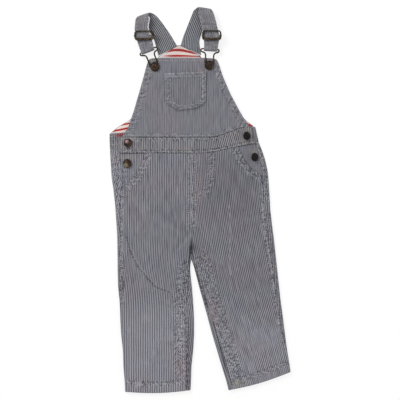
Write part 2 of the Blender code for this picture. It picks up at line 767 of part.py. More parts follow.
def smooth_loop(points, steps):
    """A closed Catmull-Rom curve through points."""
    made = []
    count = len(points)
    for i in range(count):
        p0, p1, p2, p3 = (points[(i + k - 1) % count] for k in range(4))
        for k in range(steps):
            t = k / steps
            spot = p1 * 2 + (p2 - p0) * t
            spot = spot + (p0 * 2 - p1 * 5 + p2 * 4 - p3) * t**2
            spot = spot + (p1 * 3 - p0 - p2 * 3 + p3) * t**3
            made.append(spot / 2)
    return made


def build_hook(brace):
    """Bar through the strap, ears, then a long loop round the button's shank."""
    bar = Vector((brace.bar_x, brace.bar_y, HOOK_BAR_Z))
    button = Vector((brace.button_x, brace.button_y, 0.0))
    side = turned(radians(brace.bar_lean))
    down = Vector((side.y, -side.x, 0.0))
    reach = (button - bar).dot(down)
    low = bib_height(button) + CLOTH / 2 + GAP + WIRE
    half = [
        (HOOK_EAR * 0.5, 0.0, HOOK_BAR_Z),
        (HOOK_EAR - 1.6, 0.1, HOOK_BAR_Z),
        (HOOK_EAR, 2.0, HOOK_BAR_Z),
        (HOOK_EAR - 0.9, 4.6, HOOK_BAR_Z - 0.2),
        (HOOK_NECK + 1.2, 7.6, HOOK_BAR_Z - 0.8),
        (HOOK_NECK - 0.2, 11.0, low + 0.3),
        (HOOK_NECK, 16.0, low),
        (HOOK_NECK, reach, low),
        (HOOK_NECK * 0.78, reach + HOOK_BELOW * 0.68, low),
        (HOOK_NECK * 0.4, reach + HOOK_BELOW * 0.94, low),
    ]
    outline = half + [(0.0, reach + HOOK_BELOW, low)]
    outline += [(-a, b, z) for a, b, z in reversed(half)]
    outline += [(0.0, 0.0, HOOK_BAR_Z)]
    base = Vector((bar.x, bar.y, 0.0))
    points = [base + side * a + down * b + Vector((0.0, 0.0, z)) for a, b, z in outline]
    name = "%s_hook" % brace.side
    route = smooth_loop(points, 2)
    add_object(name, tube_mesh(name, route, WIRE, True), BRONZE_FINISH)


def build_slider(brace):
    """A rounded ring over the strap, joined to a bar that runs under it."""
    ring_z = brace.front_z + STRAP / 2 + SLIDER_CLEAR + SLIDER_WIRE
    bar_z = brace.front_z - STRAP / 2 - SLIDER_CLEAR - WIRE
    lean = radians(brace.slider_lean)
    middle = Vector((brace.slider_x, brace.slider_y, 0.0))
    side = turned(lean)
    along = turned(lean + pi / 2)

    def at(a, b, z):
        return middle + side * a + along * b + Vector((0.0, 0.0, z))

    ring = []
    for quadrant, (sx, sy) in enumerate(((1, 1), (-1, 1), (-1, -1), (1, -1))):
        for k in range(ROLL_STEPS + 1):
            angle = pi / 2 * (quadrant + k / ROLL_STEPS)
            a = sx * (SLIDER_HALF_LENGTH - SLIDER_CORNER) + SLIDER_CORNER * cos(angle)
            b = sy * (SLIDER_HALF_WIDTH - SLIDER_CORNER) + SLIDER_CORNER * sin(angle)
            ring.append(at(a, b, ring_z))
    name = "%s_slider" % brace.side
    piece = add_object(name, tube_mesh(name, ring, SLIDER_WIRE, True), BRONZE_FINISH)

    bend = [(SLIDER_HALF_LENGTH - SLIDER_BEND * (1 - sin(turn)),
             bar_z + SLIDER_BEND * (1 - cos(turn))) for turn in (0.0, pi / 4, pi / 2)]
    half = bend + [(SLIDER_HALF_LENGTH, ring_z)]
    bar = [at(-a, 0.0, z) for a, z in reversed(half)] + [at(a, 0.0, z) for a, z in half]
    reach = SLIDER_HALF_LENGTH - SLIDER_CORNER + 1.0
    low_z = ring_z + SLIDER_BAR - SLIDER_WIRE
    low_bar = [at(sign * reach, -SLIDER_HALF_WIDTH, low_z) for sign in (-1, 1)]
    parts = (("centre", bar, WIRE), ("low", low_bar, SLIDER_BAR))
    for label, route, radius in parts:
        bar_name = "%s_%s_bar" % (name, label)
        mesh = tube_mesh(bar_name, route, radius, False)
        guide = add_object(bar_name, mesh, BRONZE_FINISH)
        guide.hide_render = True
        guide.display_type = "WIRE"
        union = piece.modifiers.new(label, "BOOLEAN")
        union.operation = "UNION"
        union.solver = "EXACT"
        union.object = guide


def build_button(name, seat, tilt, lift):
    """A domed cap with a rolled rim on a shank, turned about its own axis."""
    cap = 1.6 + lift
    profile = (
        (SHANK_RADIUS, 0.0),
        (SHANK_RADIUS, cap),
        (BUTTON_RADIUS - 0.5, cap + 0.1),
        (BUTTON_RADIUS, cap + 0.8),
        (BUTTON_RADIUS - 0.6, cap + 1.6),
        (BUTTON_RADIUS - 1.9, cap + 1.5),
        (BUTTON_RADIUS - 2.6, cap + 1.2),
        (BUTTON_RADIUS - 4.6, cap + 1.7),
    )
    lean = Matrix.Rotation(radians(tilt), 4, "Y")
    lean_at = Vector((0.0, 0.0, cap))
    points = []
    for radius, height in profile:
        for k in range(ROUND_STEPS):
            angle = 2 * pi * k / ROUND_STEPS
            spot = Vector((radius * cos(angle), radius * sin(angle), height))
            if height > 0.0:
                spot = lean_at + lean @ (spot - lean_at)
            points.append(seat + spot)
    faces = [tuple(range(ROUND_STEPS))]
    for r in range(len(profile) - 1):
        for k in range(ROUND_STEPS):
            m = (k + 1) % ROUND_STEPS
            faces.append((r * ROUND_STEPS + k, r * ROUND_STEPS + m,
                          (r + 1) * ROUND_STEPS + m, (r + 1) * ROUND_STEPS + k))
    top = (len(profile) - 1) * ROUND_STEPS
    faces.append(tuple(top + k for k in range(ROUND_STEPS)))
    piece = add_object(name, mesh_from(name, points, faces), BRONZE_FINISH)
    piece.data.shade_smooth()
    piece.data.set_sharp_from_angle(angle=radians(40.0))


def build_hardware():
    for brace in BRACES:
        build_hook(brace)
        build_slider(brace)
        spot = Vector((brace.button_x, brace.button_y, 0.0))
        spot.z = bib_height(spot) + CLOTH / 2 + GAP
        build_button("%s_bib_button" % brace.side, spot, 0.0, BIB_STUD_LIFT)
    for stud in SIDE_STUDS:
        spot = Vector((stud.x, stud.y, 0.0))
        if stud.seat == "band":
            spot.z = front_band_height(stud.x) + BAND / 2 + GAP
        else:
            spot.z = HIP_MID + CLOTH / 2 + GAP
        build_button(stud.name, spot, stud.tilt, stud.lift)


def carry_to_middle():
    """Hang every piece on one empty, and bring the garment's box to the origin."""
    bpy.context.view_layer.update()
    depsgraph = bpy.context.evaluated_depsgraph_get()
    low = Vector((1e9, 1e9, 1e9))
    high = -low
    pieces = [piece for piece in bpy.data.objects if piece.type == "MESH"]
    for piece in pieces:
        if piece.hide_render:
            continue
        for corner in piece.evaluated_get(depsgraph).bound_box:
            for axis in range(3):
                low[axis] = min(low[axis], corner[axis])
                high[axis] = max(high[axis], corner[axis])
    garment = bpy.data.objects.new("garment", None)
    bpy.context.collection.objects.link(garment)
    garment.location = (-(low.x + high.x) / 2, -(low.y + high.y) / 2, 0.0)
    for piece in pieces:
        piece.parent = garment


def main():
    for old in list(bpy.data.objects):
        bpy.data.objects.remove(old, do_unlink=True)
    build_leg("left", LEFT_LEG)
    build_leg("right", RIGHT_LEG)
    build_back_waistband()
    build_front_waistband()
    build_bibs()
    build_strap("left_strap", LEFT_STRAP)
    build_strap("right_strap", RIGHT_STRAP)
    build_hardware()
    carry_to_middle()


main()
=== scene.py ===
import math
import bmesh
import bpy
import numpy as np
from mathutils import Matrix, Vector
from mathutils.bvhtree import BVHTree


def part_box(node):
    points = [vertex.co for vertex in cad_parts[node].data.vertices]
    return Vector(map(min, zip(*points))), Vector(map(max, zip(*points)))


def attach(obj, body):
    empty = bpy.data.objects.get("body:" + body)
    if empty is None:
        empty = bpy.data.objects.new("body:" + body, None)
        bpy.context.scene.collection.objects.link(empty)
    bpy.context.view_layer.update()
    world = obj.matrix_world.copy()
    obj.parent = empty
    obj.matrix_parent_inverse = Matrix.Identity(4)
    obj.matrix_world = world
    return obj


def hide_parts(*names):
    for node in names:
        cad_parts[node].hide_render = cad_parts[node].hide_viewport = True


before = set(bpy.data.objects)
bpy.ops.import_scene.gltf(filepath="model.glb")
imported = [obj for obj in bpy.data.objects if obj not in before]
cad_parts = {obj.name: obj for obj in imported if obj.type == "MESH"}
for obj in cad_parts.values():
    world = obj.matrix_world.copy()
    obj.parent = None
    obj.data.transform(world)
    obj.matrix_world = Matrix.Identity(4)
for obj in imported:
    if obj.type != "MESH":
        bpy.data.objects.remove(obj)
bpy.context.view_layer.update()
bpy.ops.object.select_all(action="DESELECT")
mm = 0.001

# the garment's own places are in mm, X across and Y up from the lowest hem
knownPlaces = {"waistbandLeft": -127.6, "pocketTop": 515.8}
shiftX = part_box("front_waistband")[0].x / mm - knownPlaces["waistbandLeft"]
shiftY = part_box("bib_pocket")[1].y / mm - knownPlaces["pocketTop"]
print("frame loaded")


class Graph:
    # a node tree, with short ways to add nodes to it
    def __init__(self, tree):
        self.tree = tree

    def put(self, value, socket):
        # an output is linked to the socket, a number or colour is set on it
        if isinstance(value, bpy.types.NodeSocket):
            self.tree.links.new(value, socket)
        elif socket.type == "RGBA":
            socket.default_value = (*value, 1.0)
        else:
            socket.default_value = value

    def fill(self, node, **inputs):
        for key, value in inputs.items():
            self.put(value, node.inputs[key.replace("_", " ")])

    def node(self, kind, settings=None, **inputs):
        node = self.tree.nodes.new(kind)
        for key, value in (settings or {}).items():
            setattr(node, key, value)
        self.fill(node, **inputs)
        return node

    def use(self, group, **inputs):
        return self.node("ShaderNodeGroup", {"node_tree": group}, **inputs).outputs

    def compute(self, operation, *values):
        node = self.node("ShaderNodeMath", {"operation": operation})
        for value, socket in zip(values, node.inputs):
            self.put(value, socket)
        return node.outputs[0]

    def plus(self, first, *others):
        for other in others:
            first = self.compute("ADD", first, other)
        return first

    def minus(self, first, second):
        return self.compute("SUBTRACT", first, second)

    def times(self, first, second):
        return self.compute("MULTIPLY", first, second)

    def remap(self, value, fromLow, fromHigh, toLow=0.0, toHigh=1.0, smooth=False):
        kind = "SMOOTHSTEP" if smooth else "LINEAR"
        node = self.node("ShaderNodeMapRange", {"interpolation_type": kind})
        for part, socket in zip((value, fromLow, fromHigh, toLow, toHigh), node.inputs):
            self.put(part, socket)
        return node.outputs[0]

    def mix(self, factor, first, second, blend="MIX"):
        node = self.node("ShaderNodeMix", {"data_type": "RGBA", "blend_type": blend})
        for value, index in ((factor, 0), (first, 6), (second, 7)):
            self.put(value, node.inputs[index])
        return node.outputs[2]

    def noise(self, vector, scale, detail=2.0, roughness=0.5):
        return self.node("ShaderNodeTexNoise", Vector=vector, Scale=scale, Detail=detail,
                         Roughness=roughness).outputs["Fac"]

    def stretchedNoise(self, vector, across, along, scale=1.0, roughness=0.6):
        moved = self.node("ShaderNodeMapping", Vector=vector, Scale=(across, along, 1.0))
        return self.noise(moved.outputs["Vector"], scale, 2.0, roughness)

    def wave(self, value, pitch):
        # up and down between 0 and 1, once in each pitch
        return self.times(self.compute("PINGPONG", self.compute("DIVIDE", value, pitch), 0.5), 2.0)

    def ribs(self, value, pitch):
        return self.compute("SINE", self.times(value, 2 * math.pi / pitch))

    def parts(self, vector):
        return self.node("ShaderNodeSeparateXYZ", Vector=vector).outputs

    def painted(self, name):
        # red, green and blue as painted at the points
        mark = self.node("ShaderNodeAttribute", {"attribute_name": name})
        return self.node("ShaderNodeSeparateColor", Color=mark.outputs["Color"]).outputs

    def place(self):
        return self.node("ShaderNodeTexCoord").outputs["Object"]

    def grain(self):
        return self.node("ShaderNodeUVMap", {"uv_map": "grain"}).outputs["UV"]

    def bump(self, height, strength, distance):
        return self.node("ShaderNodeBump", Strength=strength, Distance=distance,
                         Height=height).outputs["Normal"]

    def finish(self, **outputs):
        self.fill(self.tree.nodes.new("NodeGroupOutput"), **outputs)
        return self.tree


def newGroup(name, inputs, outputs):
    # inputs have a number, a colour, or None for a vector
    kinds = {float: "NodeSocketFloat", tuple: "NodeSocketColor", type(None): "NodeSocketVector"}
    group = bpy.data.node_groups.new(name, "ShaderNodeTree")
    for socketName, value in inputs.items():
        socket = group.interface.new_socket(name=socketName, in_out="INPUT",
                                            socket_type=kinds[type(value)])
        if value is not None:
            socket.default_value = (*value, 1.0) if isinstance(value, tuple) else value
    for socketName in outputs:
        kind = "NodeSocketColor" if socketName == "Colour" else "NodeSocketFloat"
        group.interface.new_socket(name=socketName, in_out="OUTPUT", socket_type=kind)
    return Graph(group), group.nodes.new("NodeGroupInput").outputs


def newMaterial(name):
    material = bpy.data.materials.new(name)
    material.use_nodes = True
    return material, Graph(material.node_tree), material.node_tree.nodes["Principled BSDF"]


# pitches and sizes in metres, noises as scales across and along the threads
weaveLook = {"drift": 55.0, "crumple": 330.0, "crumpleSize": 0.006, "slub": (900.0, 70.0),
             "streak": (560.0, 36.0), "twillPitch": 0.00075}


def makeStripeWeave():
    # stripes across u, threads along v, twill on the diagonal
    graph, given = newGroup(
        "stripeWeave",
        {"Grain": None, "Pitch": 0.0028, "Line Width": 0.5, "Softness": 0.3, "Wander": 0.0006,
         "Pucker": 0.0},
        ("Stripe", "Slub", "Twill", "Streak"))
    grain, width, softness = given["Grain"], given["Line Width"], given["Softness"]
    place = graph.parts(grain)
    drift = graph.minus(graph.stretchedNoise(grain, 1.0, 0.5, weaveLook["drift"]), 0.5)
    crumple = graph.minus(graph.noise(grain, weaveLook["crumple"], 2.0, 0.6), 0.5)
    pull = graph.times(given["Pucker"], weaveLook["crumpleSize"])
    moved = graph.plus(place["X"], graph.times(drift, given["Wander"]), graph.times(crumple, pull))
    stripe = graph.remap(graph.wave(moved, given["Pitch"]), graph.minus(width, softness),
                         graph.plus(width, softness), smooth=True)
    slub = graph.stretchedNoise(grain, *weaveLook["slub"])
    streak = graph.stretchedNoise(grain, *weaveLook["streak"])  # threads that fade in and out
    ribs = graph.ribs(graph.plus(place["X"], place["Y"]), weaveLook["twillPitch"])
    twill = graph.remap(ribs, -1.0, 1.0)
    return graph.finish(Stripe=stripe, Slub=slub, Streak=streak, Twill=twill)


wearLook = {"speck": (620.0, 3.0, 0.65), "patch": (28.0, 3.0, 0.55), "hue": (22.0, 1.0),
            "cool": (0.962, 1.000, 1.030), "warm": (1.022, 0.988, 1.002),
            "paintedShade": (0.012, 0.012, 0.017), "paintedShadeShare": 0.85}


def makeClothWear():
    # fading, tint and stains, with painted highlights and painted shade, painted at the points,
    # broken up by a fine noise
    graph, given = newGroup(
        "clothWear",
        {"Colour": (0.2, 0.2, 0.2), "Object": None, "Faded": (0.52, 0.52, 0.54),
         "Tint": (0.30, 0.205, 0.205), "Stained": (0.33, 0.30, 0.225), "Mottle": 0.16,
         "Level": 1.0},
        ("Colour", "Nap"))
    painted = graph.painted("wear")
    stain = graph.node("ShaderNodeAttribute", {"attribute_name": "stain"}).outputs["Fac"]
    speck = graph.noise(given["Object"], *wearLook["speck"])
    patch = graph.noise(given["Object"], *wearLook["patch"])
    broad, fine = (graph.times(graph.minus(part, 0.5), given["Mottle"]) for part in (patch, speck))
    level = graph.times(graph.plus(broad, fine, 1.0), given["Level"])
    colour = graph.node("ShaderNodeVectorMath", {"operation": "SCALE"}, Vector=given["Colour"],
                        Scale=level).outputs[0]
    rough = graph.remap(speck, 0.3, 0.7, 0.55, 1.0)
    # the red share is fading and painted highlight, the blue a tint, and the stain share stains
    # and, on the straps, a painted highlight
    for share, tone in ((painted["Red"], "Faded"), (painted["Blue"], "Tint"), (stain, "Stained")):
        colour = graph.mix(graph.times(share, rough), colour, given[tone])
    # a faint drift from blue to mauve, as old dye has
    hue = graph.remap(graph.noise(given["Object"], *wearLook["hue"]), 0.35, 0.65)
    cast = graph.mix(hue, wearLook["cool"], wearLook["warm"])
    colour = graph.mix(1.0, colour, cast, "MULTIPLY")
    # the green share is painted shade: in folds, pucker hollows, seam ditches, gaps and under edges
    paintedShadeShare = graph.times(painted["Green"], wearLook["paintedShadeShare"])
    return graph.finish(Colour=graph.mix(paintedShadeShare, colour, wearLook["paintedShade"]), Nap=speck)


# the most that each painted tone can hold: twice the level, three times the contrast
toneRange = {"level": 2.0, "contrast": 3.0}


def makeClothTone():
    # how light, how striped and how crumpled the cloth is, painted at the points
    graph, _ = newGroup("clothTone", {}, ("Level", "Contrast", "Grit"))
    painted = graph.painted("tone")
    return graph.finish(Level=graph.times(painted["Red"], toneRange["level"]),
                        Contrast=graph.times(painted["Green"], toneRange["contrast"]),
                        Grit=painted["Blue"])


stripeWeave = makeStripeWeave()
clothWear = makeClothWear()
clothTone = makeClothTone()


def makeDenimCloth():
    # stripes, threads, seam lumps and wear together, as every denim piece has them
    graph, given = newGroup(
        "denimCloth",
        {"Object": None, "Grain": None, "Pitch": 0.0028, "Wander": 0.0009, "Contrast": 1.0,
         "Streaks": 0.2, "Dark": (0.04, 0.04, 0.05), "Light": (0.3, 0.3, 0.32),
         "Stained": (0.33, 0.30, 0.225)},
        ("Colour", "Roughness", "Height"))
    tone = graph.use(clothTone)
    weave = graph.use(stripeWeave, Grain=given["Grain"], Pitch=given["Pitch"],
                      Wander=given["Wander"], Pucker=tone["Grit"])
    strength = graph.remap(graph.noise(given["Object"], 34.0), 0.3, 0.7, 0.22, 1.2)
    strength = graph.times(graph.times(strength, given["Contrast"]), tone["Contrast"])
    streak = graph.remap(weave["Streak"], 0.3, 0.7, -1.0, 1.0)
    share = graph.plus(graph.times(graph.minus(weave["Stripe"], 0.5), strength), 0.5,
                       graph.remap(weave["Slub"], 0.25, 0.75, -0.12, 0.12),
                       graph.times(streak, given["Streaks"]))
    # seams draw the cloth into short ridges across them, between finer lumps
    lumps = graph.remap(graph.noise(given["Object"], 420.0, 3.0, 0.6), 0.36, 0.64, -0.26, 0.26)
    ridges = graph.remap(graph.stretchedNoise(given["Grain"], 95.0, 300.0),
                         0.36, 0.64, -0.34, 0.34)
    share = graph.plus(share, graph.times(graph.plus(lumps, ridges), tone["Grit"]))
    wear = graph.use(clothWear, Colour=graph.mix(share, given["Dark"], given["Light"]),
                     Stained=given["Stained"], Level=tone["Level"], Object=given["Object"])
    height = graph.plus(graph.times(weave["Twill"], 0.5), graph.times(wear["Nap"], 0.8),
                        graph.times(weave["Slub"], 0.5))
    return graph.finish(Colour=wear["Colour"], Height=height,
                        Roughness=graph.remap(wear["Nap"], 0.2, 0.8, 0.82, 0.96))


denimCloth = makeDenimCloth()

bandLook = {"dark": (0.034, 0.033, 0.042), "light": (0.322, 0.316, 0.328), "contrast": 1.0,
            "streaks": 0.26}
denimLook = {
    "legs": {"dark": (0.044, 0.043, 0.057), "light": (0.324, 0.317, 0.344), "contrast": 1.05,
             "streaks": 0.22, "wander": 0.0013},
    "bib": {"dark": (0.083, 0.082, 0.097), "light": (0.263, 0.260, 0.284), "contrast": 0.50,
            "streaks": 0.24},
    "band": bandLook,
    "bandEnds": {**bandLook, "stained": (0.23, 0.012, 0.018)},
    # the strap face's stained colour is the painted highlight along the left strap's edge
    "strapFace": {"dark": (0.080, 0.080, 0.092), "light": (0.272, 0.270, 0.284), "contrast": 0.5,
                  "streaks": 0.34, "stained": (0.84, 0.80, 0.79)},
    "strapBack": {"dark": (0.018, 0.020, 0.026), "light": (0.300, 0.306, 0.324), "contrast": 1.9,
                  "streaks": 0.12, "wander": 0.0002},
}


def makeDenim(name, look):
    material, graph, shader = newMaterial(name)
    values = {key.capitalize(): value for key, value in look.items()}
    cloth = graph.use(denimCloth, Object=graph.place(), Grain=graph.grain(), **values)
    graph.fill(shader, Base_Color=cloth["Colour"], Roughness=cloth["Roughness"],
               Specular_IOR_Level=0.25, Sheen_Weight=0.12, Sheen_Roughness=0.6,
               Normal=graph.bump(cloth["Height"], 0.5, 0.0002))
    return material


liningLook = {"cream": (0.84, 0.71, 0.65), "red": (0.42, 0.030, 0.028), "pitch": 0.0090,
              "lineShare": 0.60, "edge": 0.05, "wander": 0.0012, "ribPitch": 0.0008,
              "loopPitch": 0.0007, "faded": (0.9, 0.86, 0.82)}


def makeLining():
    # knitted stripes over ribs and loops
    material, graph, shader = newMaterial("striped_jersey")
    look = liningLook
    place = graph.place()
    grain = graph.parts(graph.grain())
    drift = graph.times(graph.minus(graph.noise(place, 90.0), 0.5), look["wander"])
    wave = graph.wave(graph.plus(grain["Y"], drift), look["pitch"])
    line = graph.remap(wave, look["lineShare"] - look["edge"], look["lineShare"] + look["edge"],
                       smooth=True)
    wear = graph.use(clothWear, Colour=graph.mix(line, look["cream"], look["red"]), Object=place,
                     Mottle=0.10, Faded=look["faded"])
    ribs = graph.ribs(grain["X"], look["ribPitch"])
    loops = graph.times(graph.ribs(grain["Y"], look["loopPitch"]), 0.6)
    height = graph.plus(ribs, loops, wear["Nap"])
    graph.fill(shader, Base_Color=wear["Colour"], Specular_IOR_Level=0.25, Sheen_Weight=0.2,
               Roughness=graph.remap(wear["Nap"], 0.2, 0.8, 0.8, 0.95),
               Normal=graph.bump(height, 0.4, 0.00012))
    return material


threadLook = {"dull": (0.30, 0.298, 0.30), "bright": (0.60, 0.595, 0.595),
              "pit": (0.020, 0.020, 0.026), "pitRim": (0.085, 0.084, 0.096)}


def makeThread():
    material, graph, shader = newMaterial("sewing_thread")
    place = graph.place()
    tone = graph.remap(graph.noise(place, 260.0), 0.3, 0.7)
    twist = graph.noise(place, 3200.0, 1.0)
    share = graph.times(tone, graph.remap(twist, 0.2, 0.8, 0.6, 1.0))
    graph.fill(shader, Base_Color=graph.mix(share, threadLook["dull"], threadLook["bright"]),
               Roughness=graph.remap(twist, 0.2, 0.8, 0.55, 0.75),
               Normal=graph.bump(twist, 0.4, 0.0001))
    return material


def makeNeedleHole():
    # dark shapes as painted shade in the small pits that a needle leaves between two stitches
    material, graph, shader = newMaterial("needle_hole_shade")
    tone = graph.noise(graph.place(), 700.0)
    share = graph.remap(tone, 0.3, 0.7)
    graph.fill(shader, Base_Color=graph.mix(share, threadLook["pit"], threadLook["pitRim"]),
               Roughness=graph.remap(tone, 0.3, 0.7, 0.85, 0.97), Specular_IOR_Level=0.1)
    return material


def makePlatingWearAndHighlight():
    # bare metal shows through dark plating in patches, and a painted highlight lies round one place
    graph, given = newGroup(
        "platingWearAndHighlight",
        {"Object": None, "Plated": (0.02, 0.02, 0.02), "Bare": (0.2, 0.1, 0.05),
         "Highlight": (0.2, 0.15, 0.12), "Rub Place": None, "Rub Reach": 0.0001},
        ("Colour", "Roughness", "Scratch"))
    patch = graph.noise(given["Object"], 240.0, 4.0, 0.65)
    scratch = graph.stretchedNoise(given["Object"], 1.0, 6.0, 900.0, 0.5)
    worn = graph.times(graph.remap(patch, 0.48, 0.68, smooth=True),
                       graph.remap(scratch, 0.3, 0.7, 0.3, 1.0))
    base = graph.mix(worn, given["Plated"], given["Bare"])
    # a painted highlight on the button's dome, lighter round the given place
    gap = graph.node("ShaderNodeVectorMath", {"operation": "DISTANCE"})
    graph.put(given["Object"], gap.inputs[0])
    graph.put(given["Rub Place"], gap.inputs[1])
    near = graph.compute("DIVIDE", gap.outputs["Value"], given["Rub Reach"])
    near = graph.times(graph.remap(near, 0.3, 1.0, 1.0, 0.0, True),
                       graph.remap(scratch, 0.3, 0.7, 0.7, 1.0))
    return graph.finish(Colour=graph.mix(near, base, given["Highlight"]), Scratch=scratch,
                        Roughness=graph.remap(scratch, 0.2, 0.8, 0.34, 0.56))


platingWearAndHighlight = makePlatingWearAndHighlight()


def makeBronze(name, plated, bare, highlight=None):
    material, graph, shader = newMaterial(name)
    highlightInputs = {}
    if highlight:
        button, right, up, reach, colour = highlight
        low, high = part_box(button)
        middle = ((low.x + high.x) / 2 + right * mm, (low.y + high.y) / 2 + up * mm, high.z)
        highlightInputs = {"Rub_Place": middle, "Rub_Reach": reach * mm, "Highlight": colour}
    plating = graph.use(platingWearAndHighlight, Object=graph.place(), Plated=plated, Bare=bare, **highlightInputs)
    graph.fill(shader, Base_Color=plating["Colour"], Roughness=plating["Roughness"],
               Metallic=0.85, Normal=graph.bump(plating["Scratch"], 0.25, 0.0001))
    return material


denim = {name: makeDenim("denim_" + name, look) for name, look in denimLook.items()}
jersey = makeLining()
thread = makeThread()
needleHole = makeNeedleHole()
bronze = makeBronze("antique_bronze", (0.022, 0.018, 0.015), (0.17, 0.115, 0.060))
copperTone = (0.024, 0.015, 0.011), (0.115, 0.060, 0.036)
blackTone = (0.006, 0.005, 0.006), (0.030, 0.022, 0.018)
copperBronze = makeBronze("copper_bronze", *copperTone)
blackBronze = makeBronze("black_bronze", *blackTone)
buttonMetal = {
    "left_bib_button": copperBronze, "right_bib_button": copperBronze,
    "right_waist_button": blackBronze, "right_hip_button": blackBronze,
    # the painted highlight: right and up from the middle, reach, in mm, and its colour
    "left_waist_button": makeBronze("bronze_with_painted_highlight", *copperTone, ("left_waist_button", -1.8, 2.4,
                                                                   4.6, (0.22, 0.14, 0.145))),
    "left_hip_button": makeBronze("brass_with_painted_highlight", *copperTone, ("left_hip_button", -2.3, -2.8,
                                                                5.0, (0.19, 0.165, 0.105))),
}
print("materials made")


def smoothStep(value, low, high):
    t = np.clip((value - low) / (high - low), 0.0, 1.0)
    return t * t * (3.0 - 2.0 * t)


def travelledAlong(points):
    # how far along a line each of its points is
    steps = np.linalg.norm(np.diff(points, axis=0), axis=1)
    return np.concatenate([[0.0], np.cumsum(steps)])


def curveThrough(points, step=2.0):
    # an even, smooth line through a few points
    points = np.array(points, float)
    if len(points) > 2:
        padded = np.vstack([2 * points[0] - points[1], points, 2 * points[-1] - points[-2]])
        parts = []
        for i in range(1, len(padded) - 2):
            p0, p1, p2, p3 = padded[i - 1:i + 3]
            for t in np.linspace(0.0, 1.0, 12, endpoint=False):
                spot = 2 * p1 + (p2 - p0) * t + (2 * p0 - 5 * p1 + 4 * p2 - p3) * t**2
                parts.append((spot + (3 * p1 - p0 - 3 * p2 + p3) * t**3) / 2)
        points = np.array(parts + [padded[-2]])
    lengths = travelledAlong(points)
    count = max(int(lengths[-1] / step), 2)
    even = np.linspace(0.0, lengths[-1], count + 1)
    return np.stack([np.interp(even, lengths, points[:, k]) for k in (0, 1)], 1)


def alongLine(points, x, y):
    # how far along the line, how far from it and to which side each place is
    line = curveThrough(points)
    spots = np.stack([x, y], 1)
    best = np.full(len(x), 1e9)
    along = np.zeros(len(x))
    side = np.zeros(len(x))
    done = 0.0
    for a, b in zip(line[:-1], line[1:]):
        run = b - a
        size = float(np.linalg.norm(run))
        if size == 0.0:
            continue
        run = run / size
        arm = spots - a
        t = np.clip(arm @ run, 0.0, size)
        gap = arm - t[:, None] * run
        away = np.linalg.norm(gap, axis=1)
        near = away < best
        best[near] = away[near]
        along[near] = done + t[near]
        side[near] = (run[0] * gap[:, 1] - run[1] * gap[:, 0])[near]
        done += size
    return along, best, side, done


# the waistband's edges: height at the left, rise, and from where to where it rises
bandEdges = {"top": (410.0, 17.0, 15.0, 80.0), "low": (384.8, 16.0, 0.0, 100.0)}


def bandEdge(name, x):
    height, rise, start, end = bandEdges[name]
    return height + rise * smoothStep(np.asarray(x, float), start, end)


def seamLine(name, left, right, lift):
    return [(x, float(bandEdge(name, x)) + lift) for x in np.linspace(left, right, 14)]


# angles in degrees, lengths in mm
coverLook = {"weld": 0.002, "flat": 45, "rim": 58, "rimCrease": 0.75, "corner": 16,
             "cornerCrease": 0.7, "fineReach": 2.6, "fineLength": 1.1}


def activate(piece, others=()):
    bpy.ops.object.select_all(action="DESELECT")
    for part in (piece, *others):
        part.select_set(True)
    bpy.context.view_layer.objects.active = piece


def addObject(name, data):
    piece = bpy.data.objects.new(name, data)
    bpy.context.collection.objects.link(piece)
    return piece


def standFor(piece, nodeName):
    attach(piece, "root")
    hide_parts(nodeName)


def clothCopy(nodeName, longest, levels):
    # a CAD node's form as quads with soft rims, split where the cells are long
    look = coverLook
    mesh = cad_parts[nodeName].data.copy()
    mesh.name = nodeName + "_cloth"
    mesh.materials.clear()
    work = bmesh.new()
    work.from_mesh(mesh)
    bmesh.ops.remove_doubles(work, verts=work.verts, dist=look["weld"] * mm)
    bmesh.ops.join_triangles(work, faces=work.faces, angle_shape_threshold=math.pi,
                             angle_face_threshold=math.radians(look["flat"]))
    for limit in longest:
        cut = [edge for edge in work.edges if edge.calc_length() > limit * mm]
        if cut:
            bmesh.ops.subdivide_edges(work, edges=cut, cuts=1, use_grid_fill=True)
    crease = work.edges.layers.float.new("crease_edge")
    corner = work.verts.layers.float.new("crease_vert")
    for edge in work.edges:
        if edge.is_manifold and edge.calc_face_angle() > math.radians(look["rim"]):
            edge[crease] = look["rimCrease"]
    # a corner of the outline stays a corner
    for point in work.verts:
        rim = [edge for edge in point.link_edges if edge[crease] > 0.0
               and abs(edge.verts[0].co.z - edge.verts[1].co.z) < 0.4 * edge.calc_length()]
        if len(rim) == 2:
            first, second = ((edge.other_vert(point).co - point.co).normalized() for edge in rim)
            if first.dot(second) > -math.cos(math.radians(look["corner"])):
                point[corner] = look["cornerCrease"]
    work.to_mesh(mesh)
    work.free()
    piece = addObject(mesh.name, mesh)
    activate(piece)
    smooth = piece.modifiers.new("smooth", "SUBSURF")
    smooth.levels = levels
    smooth.render_levels = levels
    bpy.ops.object.modifier_apply(modifier="smooth")
    bpy.ops.object.shade_smooth()
    return piece


def nearLines(lines, x, y, reach):
    # which places lie within reach of any of the lines
    close = np.zeros(len(x), bool)
    for points in lines:
        line = curveThrough(points, 4.0)
        for a, b in zip(line[:-1], line[1:]):
            run = b - a
            t = np.clip(((x - a[0]) * run[0] + (y - a[1]) * run[1]) / (run @ run), 0.0, 1.0)
            close |= np.hypot(x - a[0] - t * run[0], y - a[1] - t * run[1]) < reach
    return close


